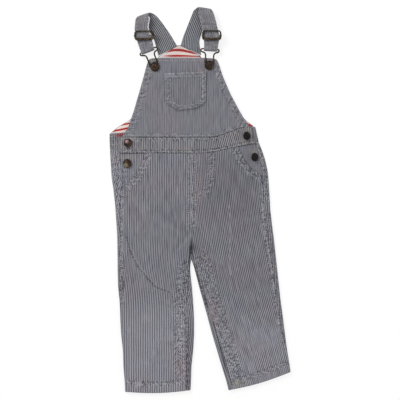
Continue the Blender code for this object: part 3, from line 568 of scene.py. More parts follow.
def refineNear(piece, lines):
    # smaller cells on the upper side, beside seams and fold lines
    work = bmesh.new()
    work.from_mesh(piece.data)
    work.normal_update()
    faces = [face for face in work.faces if face.normal.z > 0.15]
    middles = np.array([tuple(face.calc_center_median()) for face in faces]) / mm
    close = nearLines(lines, middles[:, 0] - shiftX, middles[:, 1] - shiftY,
                      coverLook["fineReach"])
    chosen = set()
    for face, isClose in zip(faces, close):
        if isClose:
            chosen.update(edge for edge in face.edges
                          if edge.calc_length() > coverLook["fineLength"] * mm)
    bmesh.ops.subdivide_edges(work, edges=list(chosen), cuts=1, use_grid_fill=True)
    bmesh.ops.triangulate(work, faces=[face for face in work.faces if len(face.verts) > 4])
    for face in work.faces:
        face.smooth = True
    work.to_mesh(piece.data)
    work.free()


def readPoints(piece):
    points = np.zeros(len(piece.data.vertices) * 3)
    piece.data.vertices.foreach_get("co", points)
    points = points.reshape(-1, 3) / mm
    return points[:, 0] - shiftX, points[:, 1] - shiftY, points[:, 2]


def writePoints(piece, x, y, z):
    points = np.stack([x + shiftX, y + shiftY, z], 1) * mm
    piece.data.vertices.foreach_set("co", points.astype(np.float32).ravel())
    piece.data.update()


def setGrain(piece, u, v):
    layer = piece.data.uv_layers.new(name="grain")
    corner = np.zeros(len(piece.data.loops), np.int32)
    piece.data.loops.foreach_get("vertex_index", corner)
    flat = np.stack([u[corner], v[corner]], 1) * mm
    layer.data.foreach_set("uv", flat.astype(np.float32).ravel())


def paintPoints(piece, name, red, green, blue):
    layer = piece.data.color_attributes.new(name=name, type="FLOAT_COLOR", domain="POINT")
    colours = np.clip(np.stack([red, green, blue, np.ones(len(red))], 1), 0.0, 1.0)
    layer.data.foreach_set("color", colours.astype(np.float32).ravel())


def paintCloth(piece, wear, level, contrast, grit):
    paintPoints(piece, "wear", wear["fade"], wear["dark"], wear["tint"])
    paintPoints(piece, "stain", wear["stain"], wear["stain"], wear["stain"])
    paintPoints(piece, "tone", level / toneRange["level"], contrast / toneRange["contrast"], grit)


def uneven(along, seed):
    # ripples of uneven length along a seam, about 8 mm each
    wave = np.sin(2 * np.pi * along / 7.6 + seed)
    wave = wave + 0.7 * np.sin(2 * np.pi * along / 11.3 + 2.1 * seed)
    wave += 0.5 * np.sin(2 * np.pi * along / 5.4 + 0.7 * seed)
    swell = 0.65 + 0.35 * np.sin(2 * np.pi * along / 47.0 + 1.3 * seed)
    return wave * swell / 1.6


# what a sewn row does to the cloth beside it, in mm and shares, with painted shade in its
# hollows and ditch and fading and painted highlight on its ridges, and how far lines, folds and
# crumples reach
reliefLook = {
    "puckerReach": 4.2, "puckerFadeAndHighlight": 0.55, "puckerShade": 1.15, "puckerContrast": 0.6,
    "puckerGrit": 1.1, "sewnReach": 1.2, "sewnDip": 0.22, "sewnShade": 0.06,
    "zoneEnds": 8.0, "lineEnds": 3.0, "foldEnds": 0.15, "foldShadeCore": 0.35, "foldHighlight": 0.5,
    "crumple": 0.20, "lowest": 0.02,
}


def fadeEnds(along, total, length):
    return smoothStep(along, 0.0, length) * (1.0 - smoothStep(along, total - length, total))


def bell(x, y, middle, reach, power):
    across = ((x - middle[0]) / reach[0]) ** power
    return np.exp(-across - ((y - middle[1]) / reach[1]) ** power)


def relief(piece, values):
    # folds, seam puckers and the wear that goes with them, with painted shade and painted
    # highlights along folds, seams, edges and gaps
    look = reliefLook
    x, y, z = readPoints(piece)
    normals = np.zeros(len(x) * 3, np.float32)
    piece.data.vertex_normals.foreach_get("vector", normals)
    upward = normals.reshape(-1, 3)[:, 2]
    rise, grit = np.zeros(len(x)), np.zeros(len(x))
    level, contrast = np.ones(len(x)), np.ones(len(x))
    wear = {name: np.zeros(len(x)) for name in ("fade", "dark", "tint", "stain")}
    turned = smoothStep(1.0 - upward, 0.10, 0.6) * (upward > -0.1)
    broken = 0.65 + 0.35 * np.sin(x * 0.83 + y * 0.71) * np.sin(y * 0.37 - x * 0.29)
    wear["fade"] += values["edgeWear"] * turned * broken
    for number, (points, _, pucker) in enumerate(values.get("rows", [])):
        along, away, side, _ = alongLine(points, x, y)
        near = np.exp(-(away / look["puckerReach"]) ** 2)
        close = np.exp(-(away / look["sewnReach"]) ** 2)
        ripple = uneven(along + 0.75 * side, number * 1.7)
        rise += pucker * ripple * near - look["sewnDip"] * close
        # pucker ridges fade and take a painted highlight, the hollows and the sewn ditch take
        # painted shade
        wear["fade"] += np.clip(ripple, 0, 1.5) * near * pucker * look["puckerFadeAndHighlight"]
        wear["dark"] += (np.clip(-ripple, 0, 1.5) * near * pucker * look["puckerShade"]
                         + close * look["sewnShade"])
        contrast += near * pucker * look["puckerContrast"]
        grit += near * pucker * look["puckerGrit"]
    for points, width, strength in values.get("zones", []):
        along, away, _, total = alongLine(points, x, y)
        ends = fadeEnds(along, total, look["zoneEnds"])
        grit += strength * np.exp(-(away / width) ** 4) * ends
    for points, width, depth, tone in values.get("creases", []):
        along, away, side, total = alongLine(points, x, y)
        ends = smoothStep(along, 0.0, total * 0.25) * (1.0 - smoothStep(along, total * 0.7, total))
        ends = look["foldEnds"] + (1.0 - look["foldEnds"]) * ends
        wander = 0.8 + 0.2 * np.sin(along / 6.0 + width)
        rise += depth * np.exp(-(away / width) ** 2) * ends * wander
        # painted shade along the fold's core, and a painted highlight on its lit side
        wear["dark"] += tone * np.exp(-(away / (width * look["foldShadeCore"])) ** 2) * ends
        lit = np.exp(-((side - width * 0.7) / (width * 0.4)) ** 2)
        wear["fade"] += tone * look["foldHighlight"] * lit * ends
    # lines paint worn edges and highlights (above 0) and shade (below 0) along edges, folds, seams
    # and gaps
    for points, width, strength, dash in values.get("lines", []):
        along, away, _, total = alongLine(points, x, y)
        beat = 0.85
        if dash:
            turns = 2 * np.pi * along / dash + 1.3 * np.sin(along / 11.0)
            beat = 0.55 + 0.45 * np.sin(turns)
        share = np.exp(-(away / width) ** 2) * fadeEnds(along, total, look["lineEnds"])
        wear["fade" if strength > 0 else "dark"] += share * beat * abs(strength)
    for middle, reach, change, stripes in values.get("shades", []):
        spot = bell(x, y, middle, reach, 4)
        level += spot * change
        contrast += spot * stripes
    # a dark mark is painted shade
    for middle, reach, kind, strength in values.get("marks", []):
        wear[kind] += bell(x, y, middle, reach, 2) * strength
    for middle, reach, lift in values.get("nudges", []):
        y = y + lift * bell(x, y, middle, reach, 4)
    grit = np.clip(grit, 0.0, 1.0)
    crumple = np.sin(x * 1.31 + y * 0.42) * np.sin(y * 1.07 - x * 0.23)
    crumple += 0.7 * np.sin(x * 0.61 - y * 1.53 + 1.0) * np.sin(x * 1.10 + y * 0.90)
    rise += look["crumple"] * grit * crumple * (upward > 0.3)
    writePoints(piece, x, y, np.maximum(z + rise, look["lowest"]))
    paintCloth(piece, wear, level, contrast, grit)


# the legs meet at X middle down to the crotch, each reaching over by up to 1 mm
centreSeam = {"middle": -13.6, "width": 8.0, "crotch": (204.0, 216.0), "spread": (226.0, 246.0),
              "least": 0.45}


def closeSeam(piece, side):
    # the two legs meet edge to edge along the centre seam, with no light between
    look = centreSeam
    x, y, z = readPoints(piece)
    near = smoothStep(side * (x - look["middle"]), -look["width"], 0.0)
    near = near * smoothStep(y, *look["crotch"])
    reach = look["least"] + (1.0 - look["least"]) * (1.0 - smoothStep(y, *look["spread"]))
    writePoints(piece, x + side * reach * near, y, z)


# how the cloth's grain leans: height up the garment, lean in degrees, clockwise going down
grainLean = {
    "left": [(10, 0.0), (128, 0.0), (160, -5.0), (190, -6.5), (214, -4.0), (250, 0.0), (390, 0.0)],
    "right": [(10, 15.0), (130, 14.5), (190, 12.0), (240, 9.0), (300, 6.5), (360, 4.0), (400, 1.0)],
}
# the radius of the legs' turned edges, below and above, and where it changes
turnedEdge = {"below": 2.7, "above": 1.65, "from": 300.0, "to": 340.0, "reach": 30.0}


def grainAxis(side, y):
    # where a thread that starts at the waist has got to
    heights = np.arange(0.0, 421.0, 2.0)
    table = np.array(grainLean[side])
    lean = np.interp(heights, table[:, 0], table[:, 1])
    slope = np.tan(np.radians(lean))
    run = np.concatenate([np.cumsum(slope[::-1] * 2.0)[::-1][1:], [0.0]])
    return np.interp(y, heights, run), np.interp(y, heights, np.radians(lean))


def edgeAt(x, y, side, step=4.0):
    # the outline's place at each height, read from the points themselves
    steps = np.arange(np.floor(y.min()), np.ceil(y.max()) + step, step)
    slot = np.clip(((y - steps[0]) / step).astype(int), 0, len(steps) - 1)
    found = np.full(len(steps), np.nan)
    for index in range(len(steps)):
        inside = x[slot == index]
        if len(inside):
            found[index] = inside.min() if side < 0 else inside.max()
    good = ~np.isnan(found)
    return np.interp(y, steps[good] + step / 2, found[good])


def roundEdge(x, z, edge, radius, side, isFront):
    # distance round a turned edge, so that stripes keep their spacing there
    inset = side * (edge - x)
    start = edge - side * radius
    angle = np.arctan2(z - radius, np.maximum(radius - inset, 1e-6))
    turning = inset < radius
    u = x.copy()
    if isFront:
        u[turning] = (start + side * radius * (np.pi / 2 - angle))[turning]
        return u
    over = (z > radius) & ~turning
    u[turning] = (start + side * radius * (angle + np.pi / 2))[turning]
    u[over] = (start + side * (np.pi * radius + inset - radius))[over]
    return u


def legGrain(piece, side, isFront):
    x, y, z = readPoints(piece)
    look = turnedEdge
    run, lean = grainAxis(side, y)
    wider = 1.0 - smoothStep(y, look["from"], look["to"])
    radius = look["above"] + (look["below"] - look["above"]) * wider
    u = x.copy()
    for edgeSide in (-1.0, 1.0):
        edge = edgeAt(x, y, edgeSide)
        near = np.abs(x - edge) < look["reach"]
        u[near] = roundEdge(x, z, edge, radius, edgeSide, isFront)[near]
    setGrain(piece, (u - run) * np.cos(lean), y / np.cos(lean))


def bandGrain(piece, step=0.5):
    # the stripes stay square to a band that rises
    x, y, z = readPoints(piece)
    slope = (bandEdge("low", x + step) - bandEdge("low", x - step)) / (2 * step)
    middle = (bandEdge("low", x) + bandEdge("top", x)) / 2
    setGrain(piece, x + (y - middle) * slope, y)


# the stripes of the lining: an arc at the neck, and straight runs that lean at the sides
liningStripes = {
    "neck": {"middle": -36.0, "bend": -0.0062, "deepest": -12.0, "start": 539.0, "end": 545.0,
             "stretch": 1.06, "shift": -28.7, "above": 500.0},
    "left": {"lean": 0.2, "middle": -120.0, "above": 424.0, "stretch": 1.25, "shift": 3.5},
    "right": {"lean": 0.4, "middle": 80.8, "shift": 6.9, "beyond": -30.0},
}


def liningGrain(piece):
    x, y, z = readPoints(piece)
    neck, left, right = (liningStripes[name] for name in ("neck", "left", "right"))
    arc = np.clip(neck["bend"] * (x - neck["middle"]) ** 2, neck["deepest"], 0.0)
    arc = arc * smoothStep(y, neck["start"], neck["end"])
    top = (y - arc) * neck["stretch"] + neck["shift"]
    sloped = y - left["lean"] * (x - left["middle"])
    higher = left["above"] + (sloped - left["above"]) * left["stretch"]
    leftSide = np.where(sloped > left["above"], higher, sloped) + left["shift"]
    rightSide = y + right["lean"] * (x - right["middle"]) + right["shift"]
    side = np.where(x < right["beyond"], leftSide, rightSide)
    setGrain(piece, x, np.where(y > neck["above"], top, side))


def pieceGrain(nodeName, piece):
    if "leg" in nodeName:
        legGrain(piece, "left" if "left" in nodeName else "right", nodeName.startswith("front"))
    elif nodeName == "front_waistband":
        bandGrain(piece)
    elif nodeName == "back_lining":
        liningGrain(piece)
    else:
        x, y, _ = readPoints(piece)
        setGrain(piece, x, y)


# one dictionary a cloth piece, all in garment mm
# split: the longest cells, in turn. levels: how often they are then rounded
# rows, sewn: line, stitch length, pucker. zones, crumpled: line, half width, strength
# creases: line, half width, depth, and the strength of the fold's painted shade and of the painted
# highlight beside it
# lines: line, width, strength (painted shade below 0, worn edge and painted highlight above), dash.
# shades: middle, reach, level, contrast
# marks: middle, reach, kind, strength, a dark mark being painted shade. nudges: middle, reach, how
# far up the garment
frontLeftLeg = {
    "split": (15.0,), "levels": 3, "look": "legs", "edgeWear": 0.30,
    "rows": [
        ([(-85.1, 383), (-92.6, 364), (-104.0, 346.2), (-121.8, 327.2)], 3.0, 0.42),
        ([(-79.2, 382), (-87.0, 362), (-99.6, 342.0), (-118.4, 322.4)], 3.0, 0.42),
        ([(-18.6, 383), (-18.6, 262)], 3.2, 0.10),
        ([(-24.4, 208), (-32.6, 176), (-36.8, 149), (-37.6, 90), (-36.4, 27)], 3.2, 0.50),
        ([(-115.4, 19.0), (-92, 16.6), (-66, 16.4), (-42, 18.6), (-23.6, 21.6)], 3.0, 0.36),
        ([(-122.0, 322), (-126.2, 292), (-126.8, 262), (-126.6, 230), (-126.2, 196),
          (-125.0, 170), (-124.2, 140)], 3.2, 0.34)],
    "creases": [
        ([(-119, 258), (-112.6, 234), (-106.4, 218.4), (-98, 203), (-81, 182.6), (-67.6, 169.4),
          (-46, 160.4)], 4.6, -0.8, 0.08),
        ([(-110, 252), (-96, 216), (-72, 190), (-38, 174)], 9.0, 0.8, 0.0),
        ([(-126, 190), (-120, 172), (-126, 150)], 3.4, -0.7, 0.25),
        ([(-60, 146), (-36, 134), (-22, 120)], 7.0, -0.7, 0.16),
        ([(-122, 100), (-104, 92), (-84, 90)], 8.0, 0.5, 0.0),
        ([(-96, 60), (-74, 52), (-50, 54)], 9.0, -0.5, 0.05),
        ([(-16, 262), (-28, 244), (-44, 226)], 6.0, -0.8, 0.16),
        ([(-24, 300), (-42, 286), (-66, 280)], 9.0, 0.5, 0.0),
        ([(-118, 318), (-104, 300), (-92, 276)], 8.0, -0.6, 0.08),
        ([(-54, 318), (-56, 282), (-60, 240)], 5.0, 0.35, 0.0),
        ([(-44, 118), (-34, 98), (-26, 96)], 5.0, -0.5, 0.18),
        ([(-48, 84), (-38, 70), (-26, 68)], 5.0, -0.5, 0.16)],
    "lines": [
        ([(-118, 256), (-112.4, 234), (-106.4, 218.4), (-98, 203), (-91, 194), (-81, 182.6),
          (-72.6, 173.6), (-67, 169.6), (-53, 164.6), (-46, 160.4), (-42.6, 151)], 0.95, -1.0, 5.4),
        ([(-109.6, 236), (-103.6, 220), (-95.6, 205.4), (-80.6, 187.4)], 0.9, 0.2, 5.4),
        ([(-126.9, 300), (-127.0, 240), (-126.8, 192)], 0.9, -0.5, 4.0),
        ([(-122.4, 312), (-123.2, 268), (-123.6, 200)], 1.0, 0.4, 19.0),
        ([(-120.6, 183), (-123.4, 168), (-125.8, 150)], 1.0, -0.6, 0.0),
        ([(-15.0, 383), (-15.0, 262)], 0.8, -0.5, 5.0),
        ([(-22.2, 128), (-21.6, 100), (-21.4, 60), (-21.8, 7)], 1.0, -1.5, 7.0),
        ([(-19.2, 128), (-18.8, 100), (-18.6, 60), (-18.8, 12)], 0.8, 0.6, 9.0),
        ([(-114, 21.4), (-66, 19.2), (-42, 21.2), (-24, 24.4)], 1.1, -0.62, 4.4),
        ([(-114, 17.2), (-66, 14.6), (-42, 16.6), (-26, 19.6)], 0.9, 0.35, 6.0),
        ([(-111, 20), (-110.6, 60), (-112, 108)], 1.0, 0.3, 0.0),
        ([(-79.0, 381), (-86.6, 362), (-98.4, 344), (-116, 325)], 1.1, 0.3, 5.6),
        ([(-13.6, 214), (-14.4, 196), (-16.2, 172), (-18.4, 140), (-19.6, 110)], 0.8, -0.6, 3.6),
        ([(-17.4, 212), (-24.0, 206), (-28.6, 190), (-30.4, 178)], 0.8, -0.5, 3.4)],
    "zones": [
        ([(-22.6, 216), (-27.0, 180), (-30.0, 140), (-30.4, 90), (-30.0, 20)], 9.0, 0.95),
        ([(-83.6, 382), (-91.0, 362), (-103.0, 344), (-120.0, 325)], 6.0, 0.66),
        ([(-124.0, 322), (-125.4, 262), (-125.0, 200), (-124.0, 150)], 3.6, 0.8),
        ([(-16.6, 382), (-16.6, 262)], 2.2, 0.4),
        ([(-120, 17.6), (-70, 15), (-22, 19.6)], 4.5, 0.6),
        ([(-112, 236), (-98, 203), (-72, 174)], 2.6, 0.5)],
    "shades": [
        ((-74, 66), (70, 84), 0.28, 0.95), ((-104, 120), (40, 60), 0.0, 0.4),
        ((-130, 290), (10, 90), 0.05, 0.6), ((-50, 300), (26, 44), -0.05, -0.1),
        ((-18, 190), (14, 60), -0.10, 0.5), ((-72, 11), (70, 9), 0.09, 0.0)],
    "marks": [
        ((-30, 40), (9, 30), "tint", 0.22), ((-126, 372), (10, 30), "fade", 0.12),
        # the dark marks at the crotch are a painted shadow between the legs
        ((-14.2, 234), (1.4, 5), "dark", 0.8), ((-14.4, 226), (1.6, 14), "dark", 0.5)],
}

frontRightLeg = {
    "split": (15.0,), "levels": 3, "look": "legs", "edgeWear": 0.36,
    "rows": [
        ([(58.2, 395.0), (66.4, 378.6), (79.2, 361.2), (99.2, 345.6)], 3.0, 0.44),
        ([(53.0, 392.6), (61.8, 375.2), (75.8, 356.6), (97.2, 340.4)], 3.0, 0.44),
        ([(-7.0, 383), (-6.6, 268)], 3.2, 0.34),
        ([(21.6, 385), (21.0, 349), (16.0, 328), (2.4, 314.4), (-10.4, 310)], 3.0, 0.34),
        ([(16.8, 385), (16.2, 350), (11.6, 333), (0.4, 320.6), (-10.6, 316.4)], 3.0, 0.34),
        ([(6.0, 232), (17.6, 196), (31.0, 150), (48.4, 92), (72.4, 10)], 3.2, 0.46),
        ([(99.6, 338), (100.4, 312), (101.6, 290), (104.6, 262), (109.0, 232), (113.4, 200),
          (119.2, 164), (125.4, 124), (131.4, 94), (138.0, 70)], 3.2, 0.36),
        ([(54.4, 22.4), (74, 26.4), (96, 33.6), (120, 42.6), (143.2, 51.0)], 3.0, 0.34),
        ([(12.4, 148), (23.6, 117), (37.6, 73), (48.0, 37)], 3.0, 0.12)],
    "creases": [
        ([(-4, 268), (8, 246), (26, 222)], 6.0, -0.9, 0.14),
        ([(4, 226), (24, 208), (52, 198)], 8.0, -0.7, 0.08),
        ([(46.4, 304), (48.0, 285), (48.4, 240), (48.4, 200)], 2.4, 0.5, 0.0),
        ([(48.4, 200), (56, 174), (66, 148)], 3.4, 0.35, 0.0),
        ([(104, 300), (86, 286), (62, 282)], 9.0, -0.6, 0.06),
        ([(112, 222), (92, 210), (70, 206)], 8.0, 0.6, 0.0),
        ([(118, 172), (96, 160), (78, 156)], 8.0, -0.6, 0.06),
        ([(30, 128), (54, 122), (78, 128)], 9.0, 0.5, 0.0),
        ([(132, 96), (108, 84), (86, 80)], 8.0, -0.5, 0.06),
        ([(60, 60), (84, 56), (108, 64)], 8.0, 0.4, 0.0),
        ([(20, 168), (28, 158), (40, 158)], 4.0, -0.5, 0.16),
        ([(42, 98), (50, 88), (60, 90)], 4.0, -0.5, 0.16)],
    "lines": [
        ([(-11.9, 383), (-11.9, 330), (-11.8, 262)], 0.9, 0.55, 23.0),
        ([(-9.6, 383), (-9.6, 262)], 0.9, -0.45, 5.0),
        ([(46.4, 303), (48.0, 285), (48.4, 240), (48.0, 205), (49.4, 188)], 0.9, 0.5, 17.0),
        ([(44.6, 300), (46.4, 280), (46.6, 230), (46.6, 192)], 0.9, -0.28, 17.0),
        ([(20.6, 117), (34.4, 73), (44.8, 37), (52.4, 13)], 1.0, -1.7, 3.9),
        ([(-1.0, 203), (6.6, 176), (20.6, 134), (31.4, 92), (41.6, 60), (50, 36)], 1.0, 0.42, 9.0),
        ([(100.2, 330), (100.8, 300), (102.2, 279), (105.2, 259), (111.2, 223), (116.3, 190),
          (119.4, 162), (124.4, 134), (127.6, 103), (135.6, 84)], 1.0, 0.6, 31.0),
        ([(102.4, 330), (102.8, 300), (104.2, 279), (107.2, 259), (113.2, 223), (118.2, 190),
          (121.2, 162), (126.0, 134), (129.6, 104), (137.2, 86)], 1.0, -0.5, 6.0),
        ([(56.8, 53), (61, 42), (64.8, 30), (67.4, 15)], 0.9, -0.5, 0.0),
        ([(56, 26.8), (74, 29.8), (96, 37.0), (120, 46), (142, 54)], 1.0, -0.42, 4.6),
        ([(52.8, 391), (61.4, 374), (75.4, 355.4), (96, 340)], 1.1, 0.32, 5.4),
        ([(21, 206), (26, 190), (30, 160)], 1.2, -0.35, 9.0),
        ([(26.6, 108), (32, 96), (34, 84)], 1.2, -0.3, 7.0),
        ([(130.0, 100), (134.6, 84), (140.2, 66), (142.8, 56)], 1.0, -0.4, 0.0),
        ([(65.6, 388), (70.4, 378.4), (76, 368), (85.6, 353.6), (94, 346)], 0.9, -0.6, 6.0)],
    "zones": [
        ([(0.0, 226), (8.0, 200), (20.0, 160), (32.0, 118), (46.0, 72), (66.0, 12)], 11.0, 0.8),
        ([(55.6, 394), (64.0, 377), (77.6, 359), (98.0, 343)], 6.5, 0.8),
        ([(101.6, 338), (103.4, 290), (108.4, 240), (116.0, 186), (127.4, 120), (137.0, 76)],
         3.8, 0.85),
        ([(-9.4, 382), (-9.2, 262)], 2.6, 0.45),
        ([(19.6, 384), (18.4, 346), (6, 320), (-10, 313)], 4.2, 0.34),
        ([(52, 19), (90, 30), (143, 50)], 4.5, 0.6)],
    "shades": [
        ((46, 330), (56, 60), -0.20, -0.15), ((74, 226), (60, 56), -0.07, 0.1),
        ((98, 36), (56, 16), 0.0, 0.3),
        # beside the crotch, at X -8, the level is lowered as a painted shadow
        ((94, 58), (64, 62), 0.25, -0.2), ((-8, 236), (8, 12), -0.18, 0.0),
        ((2, 200), (16, 50), -0.08, 0.3)],
    "marks": [
        ((-3, 332), (7, 24), "tint", 0.26), ((-1, 316), (10, 8), "tint", 0.24),
        ((60, 18), (12, 6), "stain", 0.55), ((22, 128), (9, 24), "tint", 0.18),
        # the dark marks at the crotch are a painted shadow between the legs
        ((-12.6, 234), (1.5, 4.5), "dark", 0.9), ((-12.0, 229), (1.6, 14), "dark", 0.5),
        ((-8.6, 234), (4, 6), "dark", 0.32)],
}

frontWaistband = {
    "split": (12.0, 7.0), "levels": 3, "look": "band", "edgeWear": 0.34,
    "rows": [
        (seamLine("top", -126, 81, -1.9), 2.8, 0.36),
        (seamLine("low", -126, 86, 2.2), 2.8, 0.36),
        ([(-125.8, 408), (-125.8, 387)], 2.8, 0.1)],
    "lines": [
        (seamLine("low", -104, 86, 4.8), 0.8, -0.6, 4.6),
        (seamLine("low", -126, 86, 0.3), 0.8, -0.7, 5.2),
        (seamLine("top", -104, 80, -0.3), 0.8, -0.6, 4.2)],
    "zones": [(seamLine("top", -126, 81, -2.4), 4.0, 0.5),
              (seamLine("low", -126, 86, 2.8), 4.4, 0.55),
              ([(-126, 398), (-96, 398)], 12.0, 0.5)],
    "shades": [((-30, 398), (120, 20), 0.0, 0.25)],
    "marks": [((-24, 391), (11, 5), "tint", 0.30), ((-114, 410), (12, 5), "fade", 0.3),
              ((76, 418), (9, 5), "stain", 0.35), ((72, 404), (10, 5), "stain", 0.25)],
}

frontBib = {
    "split": (15.0, 12.0), "levels": 3, "look": "bib", "edgeWear": 0.34,
    "rows": [
        ([(-81.6, 530), (-83.2, 524), (-88.2, 505), (-95.6, 479), (-103.0, 453), (-108.2, 438),
          (-112.4, 424), (-121.6, 412)], 2.9, 0.40),
        ([(-76.0, 528), (-77.6, 522), (-82.6, 503), (-90.0, 477.6), (-97.4, 451.6), (-102.6, 436.6),
          (-107.0, 422), (-114.0, 412)], 2.9, 0.40),
        ([(28.0, 530), (30.0, 524), (35.2, 508), (47.2, 480), (62.2, 452), (69.2, 440), (73.8, 432),
          (75.6, 427)], 2.9, 0.40),
        ([(22.4, 528), (24.4, 522), (29.8, 506), (41.8, 477.6), (56.8, 449.6), (64.0, 437),
          (69.0, 426)], 2.9, 0.40),
        ([(-77.6, 533.0), (-28, 532.8), (22.4, 533.2)], 2.9, 0.18),
        (seamLine("top", -112, 70, 2.6), 2.8, 0.2)],
    "creases": [
        ([(-94, 466), (-72, 452), (-52, 446)], 9.0, -0.5, 0.05),
        ([(40, 470), (26, 452), (20, 430)], 8.0, -0.5, 0.05),
        ([(-60, 520), (-62, 500), (-66, 476)], 6.0, -0.4, 0.05)],
    "lines": [
        (seamLine("top", -112, 74, 0.4), 1.0, -0.45, 4.2),
        (seamLine("top", -112, 10, 4.0), 1.0, 0.25, 6.0),
        ([(11.4, 515), (11.6, 498)], 1.0, -0.75, 0.0),
        ([(-57.6, 512), (-57.0, 490), (-55.2, 466)], 0.9, -0.35, 8.0),
        ([(-54, 463), (-44, 457.6), (-34, 452), (-5, 455.2), (6, 460.4), (11.2, 467)],
         1.0, -0.4, 0.0)],
    "zones": [
        ([(-78.8, 530), (-80.4, 523), (-85.4, 504), (-92.8, 478), (-100.2, 452), (-105.4, 437),
          (-116, 412)], 5.6, 0.85),
        ([(25.2, 530), (27.2, 523), (32.6, 507), (44.4, 479), (59.6, 451), (72.4, 427)], 5.6, 0.85),
        (seamLine("top", -112, 74, 3.0), 4.0, 0.7)],
    "nudges": [((-28, 538), (48, 7), 1.5)],
    "shades": [((-72, 500), (14, 26), 0.0, -0.3), ((-20, 524), (60, 10), 0.0, 0.3)],
    "marks": [((-20, 535.4), (46, 1.6), "fade", 0.25), ((-20, 535.4), (46, 1.8), "tint", 0.2),
              ((2.2, 516.8), (3.4, 2.6), "tint", 0.6), ((-79, 516), (7, 5), "stain", 0.3),
              ((-78, 533), (8, 4), "stain", 0.3), ((24, 532), (8, 4), "stain", 0.25)],
}

bibPocket = {
    "split": (15.0, 9.0, 5.5), "levels": 2, "look": "bib", "edgeWear": 0.5,
    "rows": [
        ([(-55.0, 506.8), (-24, 507.6), (8.8, 509.6)], 2.8, 0.28),
        ([(-51.2, 505), (-50.4, 488), (-49.0, 470.4), (-41.6, 465.6), (-33.0, 460.4), (-6.4, 463.4),
          (0.6, 467.4), (4.8, 472.6), (4.9, 490), (4.9, 507)], 2.8, 0.34)],
    "lines": [
        ([(-54.6, 504), (-24, 504.6), (6, 506.4)], 0.9, -0.32, 4.4),
        ([(-56, 511.4), (-24, 512.4), (8, 514.2)], 1.1, 0.4, 7.0),
        ([(-50.9, 505), (-50.2, 488), (-49.2, 474)], 0.9, -0.55, 4.8),
        ([(4.7, 505), (4.8, 490), (4.8, 473)], 0.9, 0.6, 13.0),
        ([(3.2, 496), (3.2, 478)], 0.8, -0.4, 5.0)],
    "zones": [
        ([(-53.0, 512), (-52.4, 488), (-51.0, 468.4), (-42, 462.4), (-33.0, 457.4), (-6.4, 460.4),
          (3.6, 466.4), (6.8, 474.6), (6.9, 512)], 4.0, 0.85),
        ([(-56, 510), (8, 512)], 4.4, 0.7)],
    "shades": [((-22, 486), (34, 28), -0.07, 0.8)],
    "marks": [((2.4, 514.2), (4, 3), "tint", 0.5), ((-50, 509), (8, 4), "fade", 0.2)],
}

